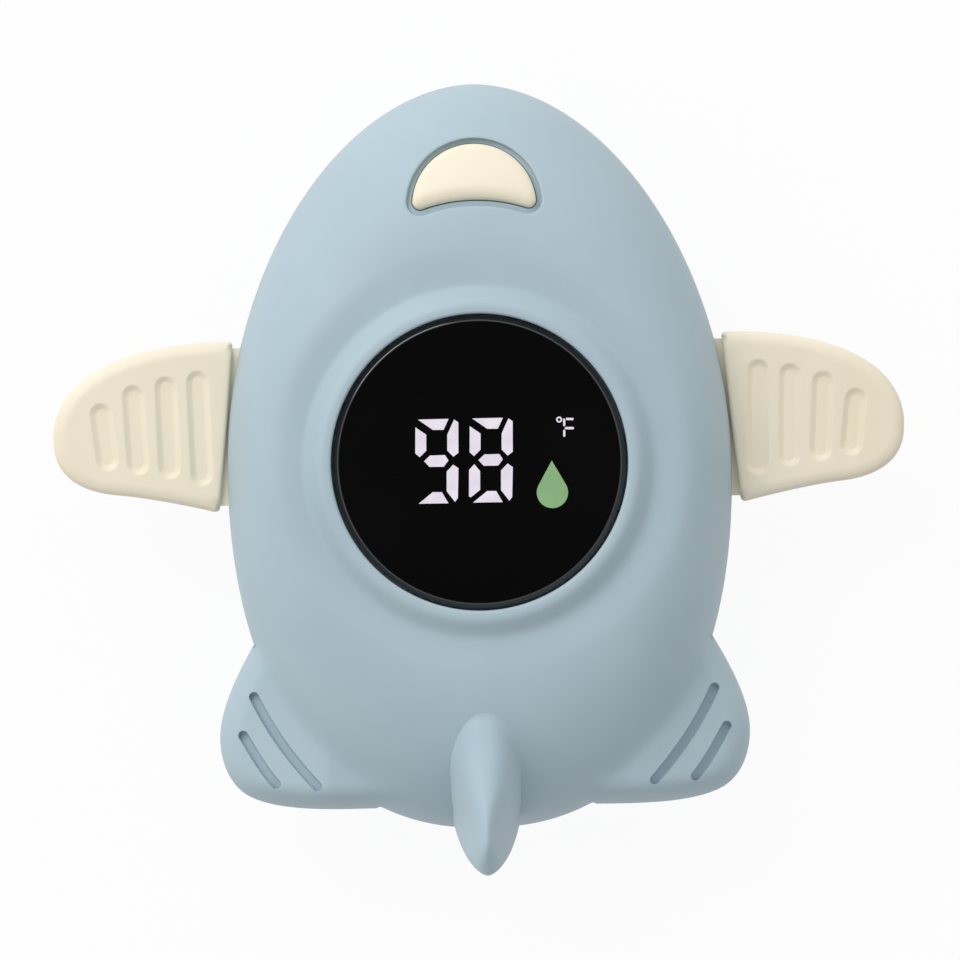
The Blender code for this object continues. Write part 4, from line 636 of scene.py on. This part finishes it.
LENS_RADIUS, LENS_TOP, LENS_BOTTOM = 18.49, 34.2, 32.6
POLE = 0.01               # a turned profile starts and ends this near to its axis
smoked = moulded("smoked_window", (7, 7, 8), (10, 10, 11), 40, (0.05, 0.09), 900, 0.0003, coat=1.0)
lens_profile = ((POLE, LENS_BOTTOM), (9.0, LENS_BOTTOM), (18.3, LENS_BOTTOM),
                (LENS_RADIUS, LENS_BOTTOM + 0.2), (LENS_RADIUS, 33.72), (18.46, 33.82), (18.36, 33.93),
                (18.10, 34.12), (17.95, 34.18), (17.75, LENS_TOP), (12.0, LENS_TOP), (6.0, LENS_TOP),
                (POLE, LENS_TOP))


def turned(profile, x=0.0, y=0.0, steps=192):
    """A profile of radius and height carried once round an upright axis, closed at both poles."""
    points, quads = strip([at(ring_of(radius, x, y, steps), z) for radius, z in profile])
    index, count = np.arange(steps), len(points)
    after = np.roll(index, -1)
    low_fan = np.column_stack([after, index, np.full(steps, count)])
    high_fan = np.column_stack([index + count - steps, after + count - steps, np.full(steps, count + 1)])
    poles = [(x, y, profile[0][1]), (x, y, profile[-1][1])]
    return np.vstack([points, poles]), quads, low_fan, high_fan


lens = put("window_cover", [turned(lens_profile)], smoked, "case", 60)
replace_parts(lens, "display_lens")

figure_light = moulded("figure_light", (235, 225, 240), (245, 238, 248), 500, (0.08, 0.1), 900, 0.0)
drop_light = moulded("drop_light", (147, 184, 137), (140, 180, 130), 300, (0.08, 0.1), 900, 0.0)
FIGURE_LOW, FIGURE_HIGH = LENS_TOP - 0.3, LENS_TOP + 0.02


def prism(outline, low, high):
    """Upright solid over a closed outline: its edge carried up, with one face below and one above."""
    outline = np.array(outline, float)
    points, quads = strip([at(outline, low), at(outline, high)])
    count = len(outline)
    return points, quads, [np.arange(count)[::-1], np.arange(count, 2 * count)]


STROKES = {
    "a": ((-0.81, 5.53), (3.09, 5.54), (2.41, 4.17), (1.07, 4.18)),
    "f": ((-1.14, 4.57), (0.21, 3.6), (0.17, 1.57), (-0.67, 0.76), (-1.22, 1.25)),
    "b": ((3.77, 5.45), (4.3, 5.08), (4.23, 1.22), (3.58, 0.74), (2.83, 1.54), (2.87, 3.54)),
    "g": ((-0.13, 0.25), (0.63, 0.95), (2.53, 0.97), (2.96, 0.29), (2.36, -0.49), (0.53, -0.48)),
    "c": ((3.54, -0.25), (4.2, -0.72), (4.04, -4.5), (3.68, -4.98), (2.65, -3.6), (2.7, -1.12)),
    "d": ((-0.93, -5.11), (0.89, -3.68), (2.04, -3.7), (2.84, -5.13)),
    "e": ((-0.66, -0.25), (0.05, -1.14), (0.02, -3.5), (-1.16, -4.43), (-1.42, -4.33), (-1.33, -0.96))}
DIGIT_PITCH = 6.87
DEGREE = (10.18, 5.16)
DEGREE_RADIUS, DEGREE_BORE = 0.38, 0.19
figures = [prism(STROKES[stroke], FIGURE_LOW, FIGURE_HIGH) for stroke in "abcdefg"]
figures += [prism(np.array(STROKES[stroke]) - (DIGIT_PITCH, 0), FIGURE_LOW, FIGURE_HIGH)
            for stroke in "abcdfg"]
figures.append(strip([at(ring_of(radius, *DEGREE), z) for radius, z in (
    (DEGREE_RADIUS, FIGURE_LOW), (DEGREE_RADIUS, FIGURE_HIGH), (DEGREE_BORE, FIGURE_HIGH),
    (DEGREE_BORE, FIGURE_LOW), (DEGREE_RADIUS, FIGURE_LOW))]))
LETTER = (((11.06, 5.37), (12.02, 5.33), (11.95, 5.04), (11.06, 5.08)),
          ((10.68, 5.2), (10.82, 5.32), (10.96, 5.16), (10.95, 4.4), (10.81, 4.28), (10.67, 4.4)),
          ((10.83, 4.07), (10.97, 4.21), (11.95, 4.2), (12.05, 4.04), (11.95, 3.89), (10.97, 3.91)),
          ((10.66, 3.76), (10.8, 3.89), (10.93, 3.76), (10.92, 3.05), (10.78, 2.93), (10.65, 3.05)))
figures += [prism(bar, FIGURE_LOW, FIGURE_HIGH) for bar in LETTER]
lit = put("lit_figures", figures, figure_light, "case", 30)
DROP_RADIUS, DROP_LENGTH, DROP_MIDDLE, DROP_TIP = 1.98, 4.03, (9.14, -4.03), (9.14, 0.0)
lean = np.arcsin(DROP_RADIUS / DROP_LENGTH)
drop_line = np.vstack([arc(DROP_MIDDLE, DROP_RADIUS, pi - lean, 2 * pi + lean, 48), [DROP_TIP]])
drop = put("lit_drop", [prism(drop_line, FIGURE_LOW, FIGURE_HIGH)], drop_light, "case", 30)


# Button. A crowned crescent cap of cream plastic on a post; it stands a little proud of the nose, with an
# even groove round it, and slides straight down onto the switch.

CAP_LOW, CAP_PROUD, CAP_EDGE, POST_RADIUS, POST_LOW = 27.7, 0.7, 0.8, 1.9, 24.0
CAP_ROLL, CAP_ROLL_WIDTH = 1.0, 2.2     # how far and over what width the hollow side rolls down
CAP_SPACING, CAP_UNDER_SPACING = 0.4, 1.5
cream_plastic = moulded("cream_plastic", (240, 231, 210), (237, 227, 203), 70, (0.42, 0.52), 3000, 0.003)
cap_loop = crescent(0)
hollow_side = arc((0, BUTTON_WAIST - BUTTON_HOLLOW), BUTTON_HOLLOW, radians(60), radians(120), 60)


def cap_top(x, y):
    """Top of the cap: the dome's height plus a little, less a quarter-round edge and a roll to the hollow."""
    near = 1 - np.clip(distance(hollow_side, x, y) / CAP_ROLL_WIDTH, 0, 1)
    return crown(x, y) + CAP_PROUD - edge_round(CAP_EDGE, cap_loop, x, y) - CAP_ROLL * near ** 2


post = ring_of(POST_RADIUS, 0, POST_Y)
cap = put("crescent_cap", [
    sheet([cap_loop], [crescent(-share * CAP_EDGE) for share in ROUND_SHARES[1:-1]], CAP_SPACING, cap_top),
    strip([at(cap_loop, cap_top(*cap_loop.T)), at(cap_loop, CAP_LOW)]),
    sheet([cap_loop, post], [], CAP_UNDER_SPACING, lambda x, y: np.full(len(x), CAP_LOW)),
    strip([at(post, CAP_LOW), at(post, POST_LOW)]),
    sheet([post], [], CAP_UNDER_SPACING, lambda x, y: np.full(len(x), POST_LOW))], cream_plastic, "button")
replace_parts(cap, "power_button")


# Wings. Two solid cream mouldings with round edges and four dished grooves above and below; a tongue at the
# root of each pushes into the body and leaves a narrow gap all round.

WING_HALF, WING_TIP_HALF, WING_EDGE, ROOT_EDGE = 3.0, 2.16, 1.4, 0.5
WING_FRONT, WING_REAR, WING_SWEEP, WING_BASE = 16.05, -5.8, 0.0984, 32.72
WING_TIP = 54.22
WING_LEADING = ((56.04, 15.93), (WING_TIP, 3.9), (WING_TIP, 3.44))
WING_TRAILING = ((WING_TIP, 3.44), (WING_TIP, -0.5), (51.2, -2.8), (46.1, -3.3))
WING_TO_ROOT = ((46.1, -3.3), (43.0, -3.6), (37.5, -4.7))
WING_SLOTS = (((48.1, 8.15), (47.4, 0.6)), ((43.97, 10.4), (43.5, 0.0)), ((39.78, 11.45), (39.5, -0.6)),
              ((35.73, 12.06), (35.4, -1.55)))
WING_SLOT_HALF, WING_SLOT_SLOPE, WING_SLOT_DEPTH = 0.7, 0.75, 0.6
WING_SLOT_REAR, WING_SLOT_FRONT = 0.7, 1.1              # what a slot's line is longer at its ends
WING_EDGE_ROWS = (0.03, 0.11, 0.24, 0.42)
WING_SLOT_ROWS = (1.6, 1.45, 1.3, 1.0, 0.7, 0.66)
WING_SPACING = 0.5
ROOT_CORNER, ROOT_BOW = 0.8, 0.1
front = (WING_BASE - WING_SWEEP * WING_FRONT, WING_FRONT)
rear = (WING_BASE - WING_SWEEP * WING_REAR, WING_REAR)


def corner_round(before, corner, after, radius, steps):
    """Round between two straight runs: a quadratic curve that starts and ends radius away from the corner."""
    before, corner, after = (np.array(point, float) for point in (before, corner, after))
    start = corner + radius * (before - corner) / np.hypot(*(before - corner))
    stop = corner + radius * (after - corner) / np.hypot(*(after - corner))
    t = np.linspace(0, 1, steps + 1)[:, None]
    return (1 - t) ** 2 * start + 2 * t * (1 - t) * corner + t * t * stop


leading = cubic((front, *WING_LEADING), 70)
trailing = np.vstack([cubic(WING_TRAILING, 36)[1:], cubic((*WING_TO_ROOT, rear), 30)[1:]])
root_steps = np.linspace(0, 1, 50)[:, None]
front_round = corner_round(rear, front, leading[3], ROOT_CORNER, 8)
rear_round = corner_round(trailing[-4], rear, front, ROOT_CORNER, 8)
free_edge = np.vstack([front_round, leading[2:], trailing[:-2], rear_round])
root_edge = rear_round[-1] + (front_round[0] - rear_round[-1]) * root_steps
root_edge[:, 0] -= ROOT_BOW * (1 - (2 * root_steps[:, 0] - 1) ** 2)
wing_loop = np.vstack([free_edge, root_edge[1:-1]])


def shrunk(loop, inset):
    """A closed outline moved inwards, each point along the middle of its neighbours' normals."""
    run = np.roll(loop, -1, 0) - np.roll(loop, 1, 0)
    run /= np.hypot(*run.T)[:, None]
    return loop + inset * np.column_stack([run[:, 1], -run[:, 0]])


wing_slot_lines = [
    np.column_stack([np.linspace(x0, x1, 24), np.linspace(y0 - WING_SLOT_FRONT, y1 + WING_SLOT_REAR, 24)])
    for (x0, y0), (x1, y1) in WING_SLOTS]


def wing_half(x, y):
    """Half thickness of a wing: an even taper to the tip, a quarter-round edge and dished grooves."""
    share = np.clip((x - front[0]) / (WING_TIP - front[0]), 0, 1)
    half = WING_HALF + (WING_TIP_HALF - WING_HALF) * share
    half -= edge_round(WING_EDGE, free_edge, x, y, False) + edge_round(ROOT_EDGE, root_edge, x, y, False)
    for line in wing_slot_lines:
        off = distance(line, x, y)
        slope = np.clip((WING_SLOT_HALF + WING_SLOT_SLOPE - off) / WING_SLOT_SLOPE, 0, 1)
        half -= WING_SLOT_DEPTH * slope
    return half


wing_rows = [shrunk(wing_loop, share * WING_EDGE) for share in WING_EDGE_ROWS]
wing_rows += [capsule(line, half) for line in wing_slot_lines for half in WING_SLOT_ROWS]
wing_flat = sheet([wing_loop], wing_rows, WING_SPACING, wing_half)
wing_edge_half = wing_half(*wing_loop.T)
TENON_HALF, TENON_INSET, TENON_DEPTH, TENON_ROOT = 1.7, 0.9, 1.4, 1.0
tenon_front, tenon_rear = WING_FRONT - TENON_INSET, WING_REAR + TENON_INSET
tenon = np.array([(front[0] + TENON_ROOT, tenon_front), (front[0] - TENON_DEPTH, tenon_front),
                  (rear[0] - TENON_DEPTH, tenon_rear), (rear[0] + TENON_ROOT, tenon_rear)])
for side, name in ((-1, "left"), (1, "right")):
    plan, triangles = wing_flat
    above = plan * (side, 1, 1) + (0, 0, PARTING)
    below = plan * (side, 1, -1) + (0, 0, PARTING)
    loop = wing_loop * (side, 1)
    tongue = prism(tenon * (side, 1), PARTING - TENON_HALF, PARTING + TENON_HALF)
    wing = put(f"cream_wing_{name}", [
        (above, triangles), (below, triangles),
        strip([at(loop, PARTING - wing_edge_half), at(loop, PARTING + wing_edge_half)]), tongue],
        cream_plastic, "case")
    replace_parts(wing, f"wing_{name}")


# Battery door. A flat cover of the same blue plastic with round corners and a round ear for its screw; it
# lies flush with the belly on a silicone seal.

DOOR_THICKNESS, DOOR_EDGE, DOOR_WELL = 1.8, 0.35, 1.1
DOOR_SPACING, DOOR_INSIDE_SPACING = 1.2, 3.0
door_loop = door_outline(0)
screw_well = ring_of(SCREW_WELL, 0, DOOR_SCREW_Y)
screw_hole = ring_of(SCREW_HOLE, 0, DOOR_SCREW_Y)
door_rows = [door_outline(-part * DOOR_EDGE) for part in ROUND_SHARES[1:]]
door_rows += [ring_of(SCREW_WELL + part * DOOR_EDGE, 0, DOOR_SCREW_Y) for part in ROUND_SHARES[1:]]


def door_under(x, y):
    """Flat underside with quarter-round edges at the outline and at the screw's well."""
    return edge_round(DOOR_EDGE, door_loop, x, y) + edge_round(DOOR_EDGE, screw_well, x, y)


door = put("door_panel", [
    sheet([door_loop, screw_well], door_rows, DOOR_SPACING, door_under),
    sheet([door_loop, screw_hole], [], DOOR_INSIDE_SPACING, lambda x, y: np.full(len(x), DOOR_THICKNESS)),
    strip([at(door_loop, DOOR_EDGE), at(door_loop, DOOR_THICKNESS)]),
    strip([at(screw_well, DOOR_EDGE), at(screw_well, DOOR_WELL), at(screw_hole, DOOR_WELL),
           at(screw_hole, DOOR_THICKNESS)])], blue_soft_touch, "case")
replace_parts(door, "battery_door")


# Screws. Four turned steel screws hold the shells together and a flatter one holds the door: pan heads with
# a pressed cross, and a rolled thread that ends in a cone.

steel = moulded("steel", (190, 190, 194), (176, 177, 182), 400, (0.22, 0.34), 2500, 0.002, metallic=1.0)
HEAD_RADIUS, THREAD_OUTER, THREAD_CORE, THREAD_PITCH = 2.5, 1.1, 0.8, 0.9
HEAD_ROUND, CROSS_DEPTH = 0.4, 0.6      # shares of the head's height
CROSS_LENGTH, CROSS_WIDTH = 1.5, 0.32
CROSS_WALL = (CROSS_WIDTH - 0.1, CROSS_WIDTH + 0.08)
CROSS_END = (CROSS_LENGTH - 0.5, CROSS_LENGTH)
THREAD_ROWS, THREAD_SIDES = 8, 24       # rows of points in one turn, and points round it
POINT_LENGTH, POINT_BLUNT = 1.6, 0.15
HEAD_SPACING, NECK_SPACING = 0.22, 0.8
CASE_SCREW, DOOR_SCREW = (9.1, 1.5, 23.0), (0.2, 0.6, 8.0)              # foot of the head, its height, tip


def screw(name, x, y, head_low, head_height, tip):
    """Head: a face with a round edge and a cross (min(|x|, |y|) narrow, max short) pressed in. Thread: radius
    core + (outer - core) |2 frac(z / pitch - angle / 2 pi) - 1|, shrinking to the tip."""
    neck, edge = head_low + head_height, HEAD_ROUND * head_height
    head = ring_of(HEAD_RADIUS, x, y)

    def face(px, py):
        """Face of the head: the rounded edge's drop plus the cross's depth."""
        dx, dy = np.abs(px - x), np.abs(py - y)
        across = 1 - smooth_step(*CROSS_WALL, np.minimum(dx, dy))
        cross = across * (1 - smooth_step(*CROSS_END, np.maximum(dx, dy)))
        return head_low + edge_round(edge, head, px, py) + CROSS_DEPTH * head_height * cross

    rows = [ring_of(HEAD_RADIUS - part * edge, x, y) for part in ROUND_SHARES[1:]]
    height = np.linspace(neck, tip, int((tip - neck) / THREAD_PITCH * THREAD_ROWS))[:, None]
    angle = np.linspace(0, 2 * pi, THREAD_SIDES + 1)[:-1][None, :]
    phase = height / THREAD_PITCH - angle / (2 * pi)
    ridge = np.abs(2 * (phase - np.floor(phase)) - 1)
    narrow = np.clip((tip - height) / POINT_LENGTH, POINT_BLUNT, 1)
    radius = (THREAD_CORE + (THREAD_OUTER - THREAD_CORE) * ridge) * narrow
    rows_up = np.stack([x + radius * np.cos(angle), y + radius * np.sin(angle),
                        np.broadcast_to(height, radius.shape)], axis=-1)
    thread = strip(rows_up)
    first, last = len(thread[0]), len(thread[0]) - THREAD_SIDES
    piece = put(name, [
        sheet([head], rows, HEAD_SPACING, face),
        strip([at(head, head_low + edge), at(head, neck)]),
        sheet([head, rows_up[0][:, :2]], [], NECK_SPACING, lambda px, py: np.full(len(px), neck)),
        (thread[0], thread[1], [np.arange(last, first)])], steel, "case", 40)
    return piece


for node, (x, y) in zip(SCREW_NODES, SCREW_PLACES):
    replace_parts(screw(f"{node}_threaded", x, y, *CASE_SCREW), node)
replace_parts(screw("door_screw_threaded", 0.0, DOOR_SCREW_Y, *DOOR_SCREW), "door_screw")


# Probe. A cap deep-drawn from thin steel, open at the top; its flange sits on a seal over the hole in the
# belly.

PROBE_RADIUS, PROBE_TIP, PROBE_WALL, PROBE_FLANGE = 3.2, 0.25, 0.4, (4.6, 5.0, 5.6)
PROBE_BEND, PROBE_FLAT = 0.6, 1.3
flange_radius, flange_low, flange_top = PROBE_FLANGE
bend_middle = (PROBE_RADIUS - PROBE_BEND, PROBE_TIP + PROBE_BEND)
bend = arc(bend_middle, PROBE_BEND, -pi / 2, 0, 10)
inner_bend = arc(bend_middle, PROBE_BEND - PROBE_WALL, 0, -pi / 2, 6)
probe = put("drawn_cap", [turned([
    (POLE, PROBE_TIP), (PROBE_FLAT, PROBE_TIP), *bend.tolist(), (PROBE_RADIUS, flange_low),
    (flange_radius, flange_low), (flange_radius, flange_top), (PROBE_RADIUS - PROBE_WALL, flange_top),
    *inner_bend.tolist(), (PROBE_FLAT, PROBE_TIP + PROBE_WALL), (POLE, PROBE_TIP + PROBE_WALL)],
    0.0, PROBE_Y, 96)], steel, "case", 40)
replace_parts(probe, "probe_cap")


# Pieces inside, which keep the frame's shapes: seals of silicone and rubber, the board with what it carries,
# two cells with nickel-plated contacts and coiled springs, and the leads.

dark_rubber = moulded("dark_rubber", (38, 38, 41), (46, 46, 49), 300, (0.6, 0.75), 4000, 0.004)
grey_silicone = moulded("grey_silicone", (158, 162, 164), (168, 171, 173), 200, (0.45, 0.55), 2500, 0.002)
white_plastic = moulded("white_plastic", (232, 232, 230), (226, 227, 226), 150, (0.4, 0.5), 3000, 0.002)
board_green = moulded("board_green", (28, 98, 62), (20, 80, 50), 700, (0.35, 0.45), 1500, 0.003, coat=0.3)
cell_jacket = moulded("cell_jacket", (88, 94, 104), (74, 80, 90), 90, (0.25, 0.35), 900, 0.001, metallic=0.3)
red_lead = moulded("red_lead", (176, 32, 30), (160, 28, 27), 500, (0.4, 0.5), 3000, 0.002)
INSIDE = (
    (dark_rubber, ("lens_gasket", "button_grommet", "probe_seal", "switch_base", "controller_chip",
                   "thermistor", "sensor_lead_left", "sensor_lead_right", "negative_lead")),
    (grey_silicone, ("hull_seal", "battery_door_seal")),
    (white_plastic, ("display_module", "switch_stem")),
    (board_green, ("main_board",)),
    (steel, ("bridge_contact", "bridge_spring", "positive_contact", "negative_contact", "negative_spring")),
    (cell_jacket, ("battery_left", "battery_right")),
    (red_lead, ("positive_lead",)))
for material, names in INSIDE:
    for node in names:
        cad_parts[node].data.materials.clear()
        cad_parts[node].data.materials.append(material)


# Stage. A white table, a white room, a broad soft lamp high at the front left, and the camera straight
# above.

TABLE_HALF, TABLE_HEIGHT = 3, -0.0002
TABLE_LIT = 0.92          # share of the table's own light in what the camera sees of it
CEILING_EDGE, CEILING_LIGHT = (0.93, 0.98), (1.0, 0.02)

floor_material = bpy.data.materials.new("white_table")
floor_material.use_nodes = True
tree = floor_material.node_tree
shader = tree.nodes["Principled BSDF"]
shader.inputs["Base Color"].default_value = (0.9, 0.9, 0.9, 1)
shader.inputs["Roughness"].default_value = 0.8
glow = tree.nodes.new("ShaderNodeEmission")
glow.inputs["Strength"].default_value = 1.0
mix = tree.nodes.new("ShaderNodeMixShader")
path = tree.nodes.new("ShaderNodeLightPath")
share = tree.nodes.new("ShaderNodeMath")
share.operation = "MULTIPLY"
share.inputs[1].default_value = TABLE_LIT
facing = tree.nodes.new("ShaderNodeNewGeometry")
clear = tree.nodes.new("ShaderNodeBsdfTransparent")
hidden = tree.nodes.new("ShaderNodeMath")           # only the camera, from above, sees the table
hidden.operation = "SUBTRACT"
hidden.use_clamp = True
table_mix = tree.nodes.new("ShaderNodeMixShader")
wire(tree, (
    (path, "Is Camera Ray", share, 0), (share, "Value", mix, "Fac"), (shader, "BSDF", mix, 1),
    (glow, "Emission", mix, 2), (path, "Is Camera Ray", hidden, 0), (facing, "Backfacing", hidden, 1),
    (hidden, "Value", table_mix, "Fac"), (clear, "BSDF", table_mix, 1), (mix, "Shader", table_mix, 2),
    (table_mix, "Shader", tree.nodes["Material Output"], "Surface")))
floor_mesh = bpy.data.meshes.new("table")
corners = [(x * TABLE_HALF, y * TABLE_HALF, TABLE_HEIGHT) for x, y in ((-1, -1), (1, -1), (1, 1), (-1, 1))]
floor_mesh.from_pydata(corners, [], [(0, 1, 2, 3)])
floor_mesh.materials.append(floor_material)
table = bpy.data.objects.new("table", floor_mesh)
bpy.context.scene.collection.objects.link(table)

ROOM_BRIGHT_SIDE = (-0.4, 0.8, 0.0)   # the room is brighter towards here
ROOM_LIGHT = (0.5, 1.08)               # strength away from that side and towards it
world = bpy.data.worlds.new("white_room")
world.use_nodes = True
tree = world.node_tree
room = tree.nodes["Background"]
toward = tree.nodes.new("ShaderNodeTexCoord")
slope = tree.nodes.new("ShaderNodeVectorMath")
slope.operation = "DOT_PRODUCT"
slope.inputs[1].default_value = ROOM_BRIGHT_SIDE
light = tree.nodes.new("ShaderNodeMapRange")
light.inputs["From Min"].default_value = -1
light.inputs["To Min"].default_value, light.inputs["To Max"].default_value = ROOM_LIGHT
height = tree.nodes.new("ShaderNodeSeparateXYZ")
ceiling = tree.nodes.new("ShaderNodeMapRange")      # dark patch above, which the window mirrors
ceiling.inputs["From Min"].default_value, ceiling.inputs["From Max"].default_value = CEILING_EDGE
ceiling.inputs["To Min"].default_value, ceiling.inputs["To Max"].default_value = CEILING_LIGHT
dimmed = tree.nodes.new("ShaderNodeMath")
dimmed.operation = "MULTIPLY"
seen = tree.nodes.new("ShaderNodeLightPath")
strength = tree.nodes.new("ShaderNodeMix")
wire(tree, (
    (toward, "Generated", slope, 0), (slope, "Value", light, "Value"),
    (toward, "Generated", height, "Vector"), (height, "Z", ceiling, "Value"), (light, "Result", dimmed, 0),
    (ceiling, "Result", dimmed, 1), (seen, "Is Camera Ray", strength, "Factor"),
    (dimmed, "Value", strength, "A"), (strength, "Result", room, "Strength")))
strength.inputs["B"].default_value = 1.0
room.inputs["Color"].default_value = (1, 1, 1, 1)
bpy.context.scene.world = world
bpy.context.scene.view_settings.view_transform = "Standard"


def lamp(name, place, size, power):
    """Square lamp that faces the object."""
    data = bpy.data.lights.new(name, "AREA")
    data.size, data.energy = size, power
    item = bpy.data.objects.new(name, data)
    item.location = place
    toward = -item.location
    item.rotation_euler = toward.to_track_quat("-Z", "Y").to_euler()
    bpy.context.scene.collection.objects.link(item)


lamp("window_lamp", place=(-0.55, 0.75, 0.95), size=0.7, power=6.0)

CAMERA_HEIGHT, VIEW_WIDTH, VIEW_PLANE = 2.0, 0.12192, 0.025
CAMERA_SHIFT, CAMERA_TURN = (0.02, -0.14), -1.186
camera_data = bpy.data.cameras.new("camera")
camera_data.sensor_width = 36
camera_data.lens = camera_data.sensor_width * (CAMERA_HEIGHT - VIEW_PLANE) / VIEW_WIDTH
camera_data.clip_end = 10
camera = bpy.data.objects.new("camera", camera_data)
camera.location = (CAMERA_SHIFT[0] * MM, CAMERA_SHIFT[1] * MM, CAMERA_HEIGHT)
camera.rotation_euler = (0, 0, radians(CAMERA_TURN))
bpy.context.scene.collection.objects.link(camera)
bpy.context.scene.camera = camera
